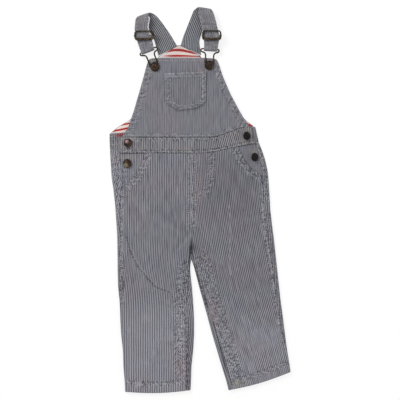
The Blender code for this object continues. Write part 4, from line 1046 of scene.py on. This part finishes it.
neckNudges = [((-31, 558), (15, 9), 1.5)]
clothPieces = {
    "back_left_leg": {
        "split": (16.0, 9.0), "levels": 2, "look": "legs", "edgeWear": 0.2,
        "rows": [([(-132.0, 300), (-130.6, 262), (-129.4, 232), (-129.0, 200)], 3.2, 0.2),
                 ([(-130.6, 383), (-129.0, 364), (-126.8, 346)], 3.0, 0.3)],
        "creases": [([(-110, 240), (-84, 214), (-52, 196)], 10.0, 0.9, 0.0),
                    ([(-120, 130), (-92, 120), (-60, 126)], 10.0, 0.7, 0.0),
                    ([(-30, 330), (-60, 300), (-92, 290)], 12.0, 0.8, 0.0)],
        "lines": [([(-126.4, 380), (-127.6, 350), (-128.6, 320)], 1.3, 0.45, 13.0),
                  ([(-129.4, 376), (-130.2, 350), (-130.4, 310)], 1.3, -0.4, 9.0),
                  ([(-18.6, 98), (-18.2, 60), (-18.4, 8)], 1.6, -0.7, 11.0),
                  ([(-15.6, 212), (-17.2, 190), (-19.0, 166)], 1.0, -1.3, 3.9)],
        "zones": [([(-17.0, 206), (-18.6, 170), (-19.6, 130), (-19.4, 90), (-19.0, 20)], 4.0, 0.6),
                  ([(-138, 384), (-136, 350), (-133, 320), (-130, 280)], 8.0, 0.8)],
        "shades": [((-130, 330), (14, 90), 0.15, 0.5), ((-12, 50), (10, 60), -0.1, 0.4)],
    },
    "back_right_leg": {
        "split": (16.0, 9.0), "levels": 2, "look": "legs", "edgeWear": 0.2,
        "rows": [([(91.6, 399), (97.4, 383), (101.4, 366)], 3.0, 0.3),
                 ([(-7.4, 212), (1.6, 181), (10.4, 154)], 3.0, 0.3)],
        "creases": [([(0, 250), (30, 224), (70, 214)], 10.0, 0.9, 0.0),
                    ([(40, 130), (70, 118), (104, 124)], 10.0, 0.7, 0.0),
                    ([(10, 330), (40, 306), (80, 300)], 12.0, 0.8, 0.0)],
        "lines": [([(95, 396), (100, 380), (104, 360), (106, 330), (109, 290), (115, 240),
                    (122, 190), (130, 130)], 1.4, -0.35, 15.0),
                  ([(93.4, 392), (98, 376), (101, 356)], 1.3, 0.45, 11.0),
                  ([(-10.8, 211), (-1.6, 181), (7.4, 154), (13.4, 136)], 1.0, -1.5, 3.9)],
        "zones": [([(93, 400), (100, 384), (104, 360), (107, 330), (109, 300)], 9.0, 0.8),
                  ([(109, 300), (114, 250), (121, 200), (129, 140), (136, 84)], 5.0, 0.5),
                  ([(-9.0, 218), (0.0, 183), (9.6, 152), (18.0, 124)], 5.0, 0.8)],
        "shades": [((112, 260), (14, 130), 0.0, 0.3)],
    },
    "front_left_leg": frontLeftLeg,
    "front_right_leg": frontRightLeg,
    "left_hip_panel": {
        "split": (12.0,), "levels": 3, "look": "legs", "edgeWear": 0.2,
        "zones": [([(-122, 384), (-124, 332)], 8.0, 0.7)],
        "shades": [((-108, 360), (30, 30), 0.02, 0.1)],
        "marks": [((-115, 377), (9, 4), "stain", 0.3)],
    },
    "right_hip_panel": {
        "split": (12.0,), "levels": 3, "look": "bib", "edgeWear": 0.2,
        "shades": [((84, 380), (12, 16), -0.06, 0.0)],
        "marks": [((88, 387), (7, 4), "stain", 0.4)],
    },
    "back_waistband": {
        "split": (16.0, 9.0), "levels": 2, "look": "bandEnds", "edgeWear": 0.34,
        "zones": [([(-136, 414), (-136, 392)], 9.0, 0.7)],
        "marks": [((-124.8, 413.6), (7.2, 2.4), "stain", 2.2)],
        "rows": [([(-141.0, 413), (-141.2, 394)], 2.9, 0.2)],
        "lines": [([(-133.6, 412), (-133.8, 404)], 1.4, -0.6, 0.0)],
    },
    "front_waistband": frontWaistband,
    "back_bib": {
        "split": (16.0, 9.0), "levels": 2, "look": "bib", "edgeWear": 0.2, "nudges": neckNudges,
    },
    "back_lining": {
        "split": (16.0, 9.0), "levels": 2, "look": "lining", "edgeWear": 0.0,
        "nudges": neckNudges,
        "marks": [
            # the dark marks are painted shade on the lining
            ((-31, 552), (14, 5), "dark", 0.22), ((-56, 543), (10, 4), "dark", 0.2),
            ((-4, 544), (10, 4), "dark", 0.2), ((-31, 535), (60, 3.2), "dark", 0.5),
            ((-33, 547), (32, 6.0), "dark", 0.22), ((-61, 539.6), (8.5, 3.4), "fade", 1.0),
            ((-118, 420), (8, 5), "dark", 0.16)],
    },
    "front_bib": frontBib,
    "bib_pocket": bibPocket,
}

made = {}
for nodeName, values in clothPieces.items():
    piece = clothCopy(nodeName, values["split"], values["levels"])
    fine = [row[0] for row in values.get("rows", []) + values.get("lines", [])]
    if fine:
        refineNear(piece, fine)
    pieceGrain(nodeName, piece)
    if nodeName.endswith("_leg"):
        closeSeam(piece, 1.0 if "left" in nodeName else -1.0)
    relief(piece, values)
    isLining = values["look"] == "lining"
    piece.data.materials.append(jersey if isLining else denim[values["look"]])
    standFor(piece, nodeName)
    made[nodeName] = piece
    print("cloth", nodeName, len(piece.data.polygons))

# the straps: one long band each, turned over at the top and round the hook's bar
strapTables = {
    # middle X, Y and Z, lean of the line across, width, and the turn that follows
    "left_strap": [
        (-50.9, 548.9, 1.1, 27.0, 34.0, ""), (-60.6, 571.6, 1.1, 32.0, 27.0, ""),
        (-69.4, 586.0, 1.1, 32.0, 24.5, ""), (-78.4, 597.4, 1.1, 27.0, 24.6, "top"),
        (-90.6, 596.4, 11.1, 14.0, 24.6, ""), (-92.6, 584.0, 11.0, 8.0, 22.6, ""),
        (-89.4, 571.2, 10.5, 12.0, 23.8, ""), (-86.4, 560.0, 10.1, 13.0, 23.4, ""),
        (-83.0, 548.6, 9.9, 21.0, 21.6, "bar"), (-83.0, 548.6, 4.9, 21.0, 21.6, ""),
        (-86.6, 560.0, 5.0, 13.0, 22.6, ""), (-89.4, 570.0, 5.3, 12.0, 22.6, "")],
    "right_strap": [
        (-14.0, 549.6, 1.1, -25.0, 36.2, ""), (-13.4, 567.6, 1.1, -21.0, 27.0, ""),
        (-6.2, 588.8, 1.1, -20.0, 24.4, ""), (2.0, 609.4, 1.1, -15.0, 24.6, "top"),
        (9.6, 609.0, 11.1, -4.0, 25.0, ""), (13.2, 597.0, 11.0, 0.0, 24.8, ""),
        (16.2, 584.0, 10.7, 2.0, 24.6, ""), (19.2, 571.2, 10.3, 1.0, 25.8, ""),
        (18.8, 560.0, 10.1, 0.0, 23.2, ""), (17.8, 550.6, 9.9, -3.0, 21.8, "bar"),
        (17.8, 550.6, 4.9, -3.0, 21.8, ""), (18.6, 560.0, 5.0, 0.0, 22.6, ""),
        (18.4, 570.0, 5.3, 1.0, 22.6, "")],
}
strapLook = {
    "thickness": 2.2, "edgeRound": 1.0, "rowStep": 1.5, "columns": 22, "turnSteps": 14,
    "topReach": {"left_strap": 1.85, "right_strap": 1.35}, "topNarrow": 0.26, "softening": 6,
    "seamInset": 2.4, "seamWidth": 0.8, "seamDip": 0.16, "pucker": 0.14, "puckerReach": 2.6,
    # a painted highlight along the left strap's edge, where its thickness catches the light: its
    # inset, width, strength, from and to
    "edgeHighlightLine": (0.8, 0.75, 1.9, 571.0, 600.0),
    # a row sewn across the right strap: height, width, strength
    "sewnLine": (590.0, 0.9, 0.45),
    "backSide": 200.0,  # how far off the underside's grain starts
}


def strapTurn(start, finish, isTop, topReach):
    # a half circle from one row over to the next, a little flat and narrow at the top
    lean = math.radians((start[3] + finish[3]) / 2)
    sign = 1.0 if isTop else -1.0
    outX, outY = -math.sin(lean) * sign, math.cos(lean) * sign
    reach = abs(finish[2] - start[2]) / 2 * (topReach if isTop else 1.0)
    narrow = strapLook["topNarrow"] if isTop else 0.0
    lines = []
    for k in range(1, strapLook["turnSteps"]):
        angle = math.pi * k / strapLook["turnSteps"]
        share = (1.0 - math.cos(angle)) / 2
        row = [a + (b - a) * share for a, b in zip(start, finish)]
        row[0] += outX * reach * math.sin(angle)
        row[1] += outY * reach * math.sin(angle)
        row[4] *= 1.0 - narrow * math.sin(angle)
        lines.append(tuple(row))
    return lines


def strapLines(table, topReach):
    # rows along the strap: straight runs are smoothed, turns are half circles
    runs = [[]]
    turns = []
    for row in table:
        runs[-1].append(row)
        if row[5]:
            turns.append(row[5])
            runs.append([])
    lines = []
    for number, run in enumerate(runs):
        values = np.array([row[:5] for row in run])
        lengths = travelledAlong(values[:, :2])
        count = max(int(lengths[-1] / strapLook["rowStep"]), 2)
        even = np.linspace(0, lengths[-1], count + 1)
        bent = np.stack([np.interp(even, lengths, values[:, k]) for k in range(5)], 1)
        for _ in range(strapLook["softening"]):
            bent[1:-1] = (bent[:-2] + 2 * bent[1:-1] + bent[2:]) / 4
        if number:
            lines += strapTurn(lines[-1], bent[0], turns[number - 1] == "top", topReach)
        lines += [tuple(row) for row in bent]
    return np.array(lines)


def strapPoint(name, place, width, side, travelled, height):
    # how far a point lies off the band's middle, and the wear, painted highlight and painted shade
    # there
    look = strapLook
    half = look["thickness"] / 2
    toEdge = width / 2 - abs(place)
    t = min(toEdge / look["edgeRound"], 1.0)
    lift = half * math.sqrt(max(1.0 - (1.0 - t) ** 2, 0.0)) * 0.92 + half * 0.08
    seam = math.exp(-((toEdge - look["seamInset"]) / look["seamWidth"]) ** 2)
    near = math.exp(-((toEdge - look["seamInset"]) / look["puckerReach"]) ** 2)
    seed = 1.0 + side + (3.0 if place > 0 else 0.0)
    ripple = float(uneven(travelled + 0.6 * place, seed))
    lift += look["pucker"] * ripple * near - look["seamDip"] * seam
    # a painted highlight along both edges
    edge = math.exp(-(toEdge / 0.9) ** 2)
    cream = sewn = 0.0
    inset, reach, strength, low, high = look["edgeHighlightLine"]
    if name == "left_strap" and side < 0 and low < height < high:
        cream = strength * math.exp(-((width / 2 - inset - place) / reach) ** 2)
    row, reach, strength = look["sewnLine"]
    if name == "right_strap" and side < 0:
        sewn = strength * math.exp(-((height - row) / reach) ** 2)
    # pucker ridges and edges fade and take painted highlight, pucker hollows and seams take painted
    # shade
    return lift, (max(ripple, 0) * near * 0.25 + 0.35 * edge,
                  max(-ripple, 0) * near * 0.22 + 0.1 * seam + sewn,
                  cream, 0.35 + 0.5 * near if side < 0 else 0.0)


def buildStrap(name, table):
    lines = strapLines(table, strapLook["topReach"][name])
    middle = lines[:, :3]
    lean = np.radians(lines[:, 3])
    across = np.stack([np.cos(lean), np.sin(lean), np.zeros(len(lean))], 1)
    along = np.gradient(middle, axis=0)
    along /= np.linalg.norm(along, axis=1)[:, None]
    normal = np.cross(across, along)
    normal /= np.linalg.norm(normal, axis=1)[:, None]
    travelled = travelledAlong(middle)
    columns = strapLook["columns"]
    shares = np.linspace(-math.pi / 2, math.pi / 2, columns + 1)
    shares = np.sin(shares * 0.86) / math.sin(0.43 * math.pi)
    points, uvs, wears = [], [], []
    for r, width in enumerate(lines[:, 4]):
        for side, order in ((1.0, shares), (-1.0, shares[::-1])):
            for share in order:
                place = share * width / 2
                lift, wear = strapPoint(name, place, width, side, travelled[r], middle[r][1])
                points.append(middle[r] + across[r] * place + normal[r] * side * lift)
                uvs.append((place if side > 0 else place + strapLook["backSide"], travelled[r]))
                wears.append(wear)
    size = 2 * (columns + 1)
    faces = []
    for r in range(len(lines) - 1):
        for k in range(size):
            m = (k + 1) % size
            faces.append((r * size + k, r * size + m, (r + 1) * size + m, (r + 1) * size + k))
    bandFaces = len(faces)
    for base in (0, (len(lines) - 1) * size):
        for k in range(columns):
            quad = (base + k, base + k + 1, base + size - 2 - k, base + size - 1 - k)
            faces.append(quad if base else quad[::-1])
    points = (np.array(points) + np.array([shiftX, shiftY, 0.0])) * mm
    mesh = bpy.data.meshes.new(name + "_cloth")
    mesh.from_pydata(points.tolist(), [], faces)
    piece = addObject(mesh.name, mesh)
    work = bmesh.new()
    work.from_mesh(mesh)
    bmesh.ops.recalc_face_normals(work, faces=work.faces)
    work.to_mesh(mesh)
    work.free()
    setGrain(piece, *np.array(uvs).T)
    fade, dark, stain, grit = np.array(wears).T
    plain = np.ones(len(fade))
    wear = {"fade": fade, "dark": dark, "tint": 0.0 * plain, "stain": stain}
    paintCloth(piece, wear, plain, plain, grit)
    mesh.materials.append(denim["strapBack"])
    mesh.materials.append(denim["strapFace"])
    for index, polygon in enumerate(mesh.polygons):
        polygon.material_index = int(index < bandFaces and index % size >= columns)
        polygon.use_smooth = True
    return piece, travelled[-1]


for name, table in strapTables.items():
    piece, length = buildStrap(name, table)
    standFor(piece, name)
    made[name] = piece
    print("strap", name, len(piece.data.polygons), "faces", round(float(length)), "mm long")

stitchLook = {
    "width": 0.80, "height": 0.50, "sides": 8, "rings": 5, "lift": 0.02, "sink": 0.9,
    "length": (0.12, 0.5, 0.88),  # start, middle and end, as shares of a step
    "steepest": 1.4, "tilt": 0.35, "uneven": 0.06,
    "holeLength": 1.15, "holeWidth": 1.25, "holeHeight": 0.16, "holeBefore": 0.13,
    "holeShut": -0.7,
}


def makeStitch():
    # one stitch, 1 long, its width and height in mm, its two ends pulled into the cloth
    bpy.ops.object.select_all(action="DESELECT")
    bpy.ops.mesh.primitive_uv_sphere_add(segments=stitchLook["sides"],
                                         ring_count=stitchLook["rings"], radius=1.0)
    stitch = bpy.context.object
    bpy.ops.object.mode_set(mode="EDIT")
    bpy.ops.mesh.select_all(action="SELECT")
    bpy.ops.transform.rotate(value=math.pi / 2, orient_axis="Y", center_override=(0, 0, 0))
    bpy.ops.transform.resize(value=(0.5, stitchLook["width"] / 2, stitchLook["height"] / 2))
    bpy.ops.mesh.select_all(action="DESELECT")
    bpy.ops.object.mode_set(mode="OBJECT")
    for vertex in stitch.data.vertices:
        vertex.co.z -= stitchLook["sink"] * vertex.co.x ** 2
    points = np.array([tuple(vertex.co) for vertex in stitch.data.vertices])
    faces = [tuple(polygon.vertices) for polygon in stitch.data.polygons]
    bpy.data.objects.remove(stitch)
    return points, faces


stitchPoints, stitchFaces = makeStitch()


def turnedStitch(sizes, axes):
    # the stitch's points, stretched by three sizes along three directions
    return sum((stitchPoints[:, k:k + 1] * sizes[k]) * np.array(axes[k]) for k in range(3))


def seatStitch(tree, start, step, length):
    # where the cloth lies under a stitch's start, middle and end, or None where it drops
    seats = []
    for share in stitchLook["length"]:
        spot = start + step * share
        above = Vector(((spot[0] + shiftX) * mm, (spot[1] + shiftY) * mm, 0.04))
        seats.append(tree.ray_cast(above, Vector((0, 0, -1)))[:2])
    if any(hit is None for hit, _ in seats) or seats[1][1].z < stitchLook["tilt"]:
        return None
    run = seats[2][0] - seats[0][0]
    if run.length > stitchLook["steepest"] * length * mm:
        return None
    return seats[0][0], seats[1][0], seats[1][1], run


def placeStitches(nodeName, rows):
    look = stitchLook
    tree = BVHTree.FromObject(made[nodeName], bpy.context.evaluated_depsgraph_get())
    points, faces, slots = [], [], []

    def addShape(shape, middle, slot):
        base = len(points) * len(stitchPoints)
        points.append(shape + np.array(middle))
        faces.extend(tuple(base + i for i in face) for face in stitchFaces)
        slots.extend([slot] * len(stitchFaces))

    for line, length, _ in rows:
        even = curveThrough(line, length)
        for number in range(len(even) - 1):
            seat = seatStitch(tree, even[number], even[number + 1] - even[number], length)
            if seat is None:
                continue
            start, middle, up, run = seat
            size = run.length * (1.0 + look["uneven"] * math.sin(number * 12.9 + len(points)))
            run.normalize()
            sideways = up.cross(run).normalized()
            up = run.cross(sideways)
            axes = (run, sideways, up)
            addShape(turnedStitch((size, mm, mm), axes), middle + up * look["lift"] * mm, 0)
            # and the hole where it goes in, a dark shape as painted shade, now and then pulled shut
            if math.sin(number * 7.3 + len(points) * 0.7) < look["holeShut"]:
                continue
            sizes = (look["holeLength"] * mm, look["holeWidth"] / look["width"] * mm,
                     look["holeHeight"] / look["height"] * mm)
            addShape(turnedStitch(sizes, axes), start - run * (look["holeBefore"] * length * mm),
                     1)
    mesh = bpy.data.meshes.new(nodeName + "_stitching")
    mesh.from_pydata(np.concatenate(points).tolist(), [], faces)
    for polygon, slot in zip(mesh.polygons, slots):
        polygon.use_smooth = True
        polygon.material_index = slot
    mesh.materials.append(thread)
    mesh.materials.append(needleHole)
    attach(addObject(mesh.name, mesh), "root")
    return len(points)


stitchCount = sum(placeStitches(nodeName, values["rows"])
                  for nodeName, values in clothPieces.items() if values.get("rows"))
print("stitches", stitchCount)

for name, metal in buttonMetal.items():
    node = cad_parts[name]
    node.data.materials.clear()
    node.data.materials.append(metal)

# middle X and Y, length, width, lean, and the widths of the left and right side, in garment mm
sliderPlaces = {"left_slider": (-88.3, 571.6, 31.0, 15.8, 1.5, 2.2, 3.6),
                "right_slider": (19.2, 571.8, 30.8, 16.2, 0.0, 3.0, 2.4)}
sliderLook = {"rim": 2.0, "topBar": 1.9, "lowBar": 4.2, "corner": 3.4, "height": 2.3,
              "round": 0.8, "barRadius": 1.2, "barDrop": 4.4, "barShort": 1.0,
              "nub": (2.0, 3.4, 7.4), "nubInset": 0.4, "nubDrop": 1.6, "nubRound": 0.6}


def isInside(point, halfLength, halfWidth, corner):
    # whether a point of the flat frame lies clear of its outline
    gapX = halfLength - abs(point.x)
    gapY = halfWidth - abs(point.y)
    return gapX > 0.3 and gapY > 0.3 and gapX + gapY > corner + 0.6


def moveInner(ring, inside, test, step):
    # in edit mode, move those of the frame's inner points for which the test holds
    bpy.ops.mesh.select_all(action="DESELECT")
    bpy.ops.object.mode_set(mode="OBJECT")
    for index in inside:
        ring.data.vertices[index].select = bool(test(ring.data.vertices[index].co))
    bpy.ops.object.mode_set(mode="EDIT")
    bpy.ops.mesh.select_mode(type="VERT")
    bpy.ops.transform.translate(value=tuple(part * mm for part in step))


def finishMetal(piece, name, pieceName):
    piece.name = pieceName
    piece.data.materials.clear()
    piece.data.materials.append(bronze)
    standFor(piece, name)
    print(pieceName, len(piece.data.polygons))


def makeSlider(name, middleX, middleY, length, width, lean, leftSide, rightSide):
    look = sliderLook
    bpy.ops.object.select_all(action="DESELECT")
    bpy.ops.mesh.primitive_plane_add(size=1.0, location=(0, 0, 0))
    ring = bpy.context.object
    bpy.ops.object.mode_set(mode="EDIT")
    bpy.ops.mesh.select_all(action="SELECT")
    bpy.ops.transform.resize(value=(length * mm, width * mm, 1.0))
    bpy.ops.mesh.bevel(affect="VERTICES", offset=look["corner"] * mm, segments=3, profile=0.35)
    bpy.ops.mesh.select_all(action="SELECT")
    bpy.ops.mesh.inset(thickness=look["rim"] * mm)
    bpy.ops.mesh.delete(type="FACE")
    bpy.ops.object.mode_set(mode="OBJECT")
    inside = [point.index for point in ring.data.vertices
              if isInside(point.co / mm, length / 2, width / 2, look["corner"])]
    bpy.ops.object.mode_set(mode="EDIT")
    # the low bar is the wide one, the top bar the thin one, and the two sides differ
    moveInner(ring, inside, lambda p: p.y < 0.0, (0, look["lowBar"] - look["rim"], 0))
    moveInner(ring, inside, lambda p: p.y > 0.0, (0, look["rim"] - look["topBar"], 0))
    moveInner(ring, inside, lambda p: p.x < 0.0, (leftSide - look["rim"], 0, 0))
    moveInner(ring, inside, lambda p: p.x > 0.0, (look["rim"] - rightSide, 0, 0))
    bpy.ops.mesh.select_all(action="SELECT")
    up = {"value": (0, 0, look["height"] * mm)}
    bpy.ops.mesh.extrude_region_move(TRANSFORM_OT_translate=up)
    bpy.ops.mesh.select_all(action="SELECT")
    bpy.ops.mesh.normals_make_consistent(inside=False)
    bpy.ops.object.mode_set(mode="OBJECT")
    rounded = ring.modifiers.new("rounded", "BEVEL")
    rounded.width = look["round"] * mm
    rounded.segments = 3
    rounded.limit_method = "ANGLE"
    rounded.angle_limit = math.radians(50)
    bpy.ops.object.modifier_apply(modifier="rounded")
    # the bar that the strap goes round, under it, and the nubs that hold it
    bpy.ops.mesh.primitive_cylinder_add(
        vertices=20, radius=look["barRadius"] * mm, depth=(length - look["barShort"]) * mm,
        location=(0, 0, -look["barDrop"] * mm), rotation=(0, math.pi / 2, 0))
    parts = [bpy.context.object]
    for sign in (-1, 1):
        out = sign * (length / 2 - look["nubInset"]) * mm
        bpy.ops.mesh.primitive_cube_add(size=1.0, location=(out, 0, -look["nubDrop"] * mm))
        parts.append(bpy.context.object)
        bpy.ops.object.mode_set(mode="EDIT")
        bpy.ops.transform.resize(value=tuple(part * mm for part in look["nub"]))
        bpy.ops.mesh.bevel(offset=look["nubRound"] * mm, segments=3)
        bpy.ops.object.mode_set(mode="OBJECT")
    activate(ring, parts)
    bpy.ops.object.join()
    bpy.ops.object.transform_apply(location=True, rotation=True, scale=True)
    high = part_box(name)[1].z
    turn = Matrix.Rotation(math.radians(lean), 4, "Z")
    place = ((middleX + shiftX) * mm, (middleY + shiftY) * mm, high - look["height"] * mm)
    ring.data.transform(Matrix.Translation(place) @ turn)
    bpy.ops.object.shade_smooth_by_angle(angle=math.radians(40))
    finishMetal(ring, name, name + "_metal")


for name, values in sliderPlaces.items():
    makeSlider(name, *values)

# each hook: the middle of its bar, the lean of that bar, and the button that it holds
hookPlaces = {"left_hook": (-81.7, 549.1, 21.0, -71.6, 523.4),
              "right_hook": (16.6, 550.7, -3.0, 16.2, 525.6)}
hookLook = {"wire": 1.2, "barHeight": 7.5, "lowHeight": 6.0, "below": 7.2, "sides": 3}
# half of the wire's bar, curled ear and neck: out, down, and under the bar's height
hookHalf = [(6.0, 0.0, 0.0), (12.8, -0.3, 0.0), (15.0, 1.8, 0.0), (13.6, 4.6, 0.2),
            (8.8, 5.6, 0.5), (6.6, 8.4, 1.0), (6.4, 12.0, 1.3), (6.5, 16.0, 1.5)]
# and of its loop: out, and how far below the button, as a share of its lowest
hookLoop = [(6.3, 0.0), (4.9, 0.68), (2.5, 0.94)]


def makeHook(name, barX, barY, lean, buttonX, buttonY):
    look = hookLook
    across = np.array([math.cos(math.radians(lean)), math.sin(math.radians(lean))])
    down = np.array([across[1], -across[0]])
    reach = float((np.array([buttonX, buttonY]) - np.array([barX, barY])) @ down)
    high, low = look["barHeight"], look["lowHeight"]
    half = [(out, far, high - under) for out, far, under in hookHalf]
    half += [(out, reach + look["below"] * share, low) for out, share in hookLoop]
    outline = half + [(0.0, reach + look["below"], low)]
    outline += [(-out, far, z) for out, far, z in half[::-1]] + [(0.0, 0.0, high)]
    bpy.ops.object.select_all(action="DESELECT")
    bpy.ops.curve.primitive_nurbs_path_add(location=(0, 0, 0))
    wire = bpy.context.object
    wire.data.splines.clear()
    spline = wire.data.splines.new("NURBS")
    spline.points.add(len(outline) - 1)
    for point, (out, far, z) in zip(spline.points, outline):
        spot = np.array([barX + shiftX, barY + shiftY]) + across * out + down * far
        point.co = (spot[0] * mm, spot[1] * mm, z * mm, 1.0)
    spline.order_u = 3
    spline.use_cyclic_u = True
    spline.resolution_u = 8
    wire.data.dimensions = "3D"
    wire.data.bevel_depth = look["wire"] * mm
    wire.data.bevel_resolution = look["sides"]
    bpy.ops.object.convert(target="MESH")
    wire = bpy.context.object
    bpy.ops.object.shade_smooth()
    finishMetal(wire, name, name + "_wire")


for name, values in hookPlaces.items():
    makeHook(name, *values)

studio = {
    "floorColour": (0.24, 0.24, 0.24), "floorLift": 0.78, "floorSize": 6.0, "world": 0.55,
    "cameraHeight": 1.78, "lens": 100.0,
    # place, size and power
    "key": ((-0.9, 0.9, 1.1), 0.7, 15.0), "fill": ((1.1, -0.3, 1.2), 1.2, 5.0),
}


def seenDirectly(graph):
    # 1 where the camera, a reflection or a clear thing sees it, 0 where it only lights
    path = graph.node("ShaderNodeLightPath").outputs
    seen = graph.compute("MAXIMUM", path["Is Camera Ray"], path["Is Glossy Ray"])
    return graph.compute("MAXIMUM", seen, path["Is Transmission Ray"])


def makeFloor():
    bpy.ops.object.select_all(action="DESELECT")
    bpy.ops.mesh.primitive_plane_add(size=studio["floorSize"], location=(0, 0, -0.0001))
    floor = bpy.context.object
    floor.name = "floor"
    material = bpy.data.materials.new("pale_floor")
    material.use_nodes = True
    graph = Graph(material.node_tree)
    graph.tree.nodes.clear()
    matt = graph.node("ShaderNodeBsdfDiffuse", Color=studio["floorColour"])
    lift = graph.times(seenDirectly(graph), studio["floorLift"])
    glow = graph.node("ShaderNodeEmission", Strength=lift)
    both = graph.tree.nodes.new("ShaderNodeAddShader")
    graph.put(matt.outputs[0], both.inputs[0])
    graph.put(glow.outputs[0], both.inputs[1])
    graph.node("ShaderNodeOutputMaterial", Surface=both.outputs[0])
    floor.data.materials.append(material)


def makeWorld():
    world = bpy.data.worlds.new("studio")
    bpy.context.scene.world = world
    world.use_nodes = True
    graph = Graph(world.node_tree)
    strength = graph.times(seenDirectly(graph), 1.0 - studio["world"])
    graph.fill(world.node_tree.nodes["Background"], Color=(1.0, 1.0, 1.0),
               Strength=graph.plus(strength, studio["world"]))


def addLight(name, place, size, power):
    light = bpy.data.lights.new(name, "AREA")
    light.size = size
    light.energy = power
    lamp = addObject(name, light)
    lamp.location = place
    lamp.rotation_euler = (-Vector(place)).to_track_quat("-Z", "Y").to_euler()


makeFloor()
makeWorld()
addLight("key", *studio["key"])
addLight("fill", *studio["fill"])

camera = bpy.data.cameras.new("camera")
camera.lens = studio["lens"]
camera.sensor_width = 36.0
eye = addObject("camera", camera)
eye.location = (0.0, 0.0, studio["cameraHeight"])
bpy.context.scene.camera = eye
bpy.context.scene.view_settings.view_transform = "Standard"
print("studio ready")
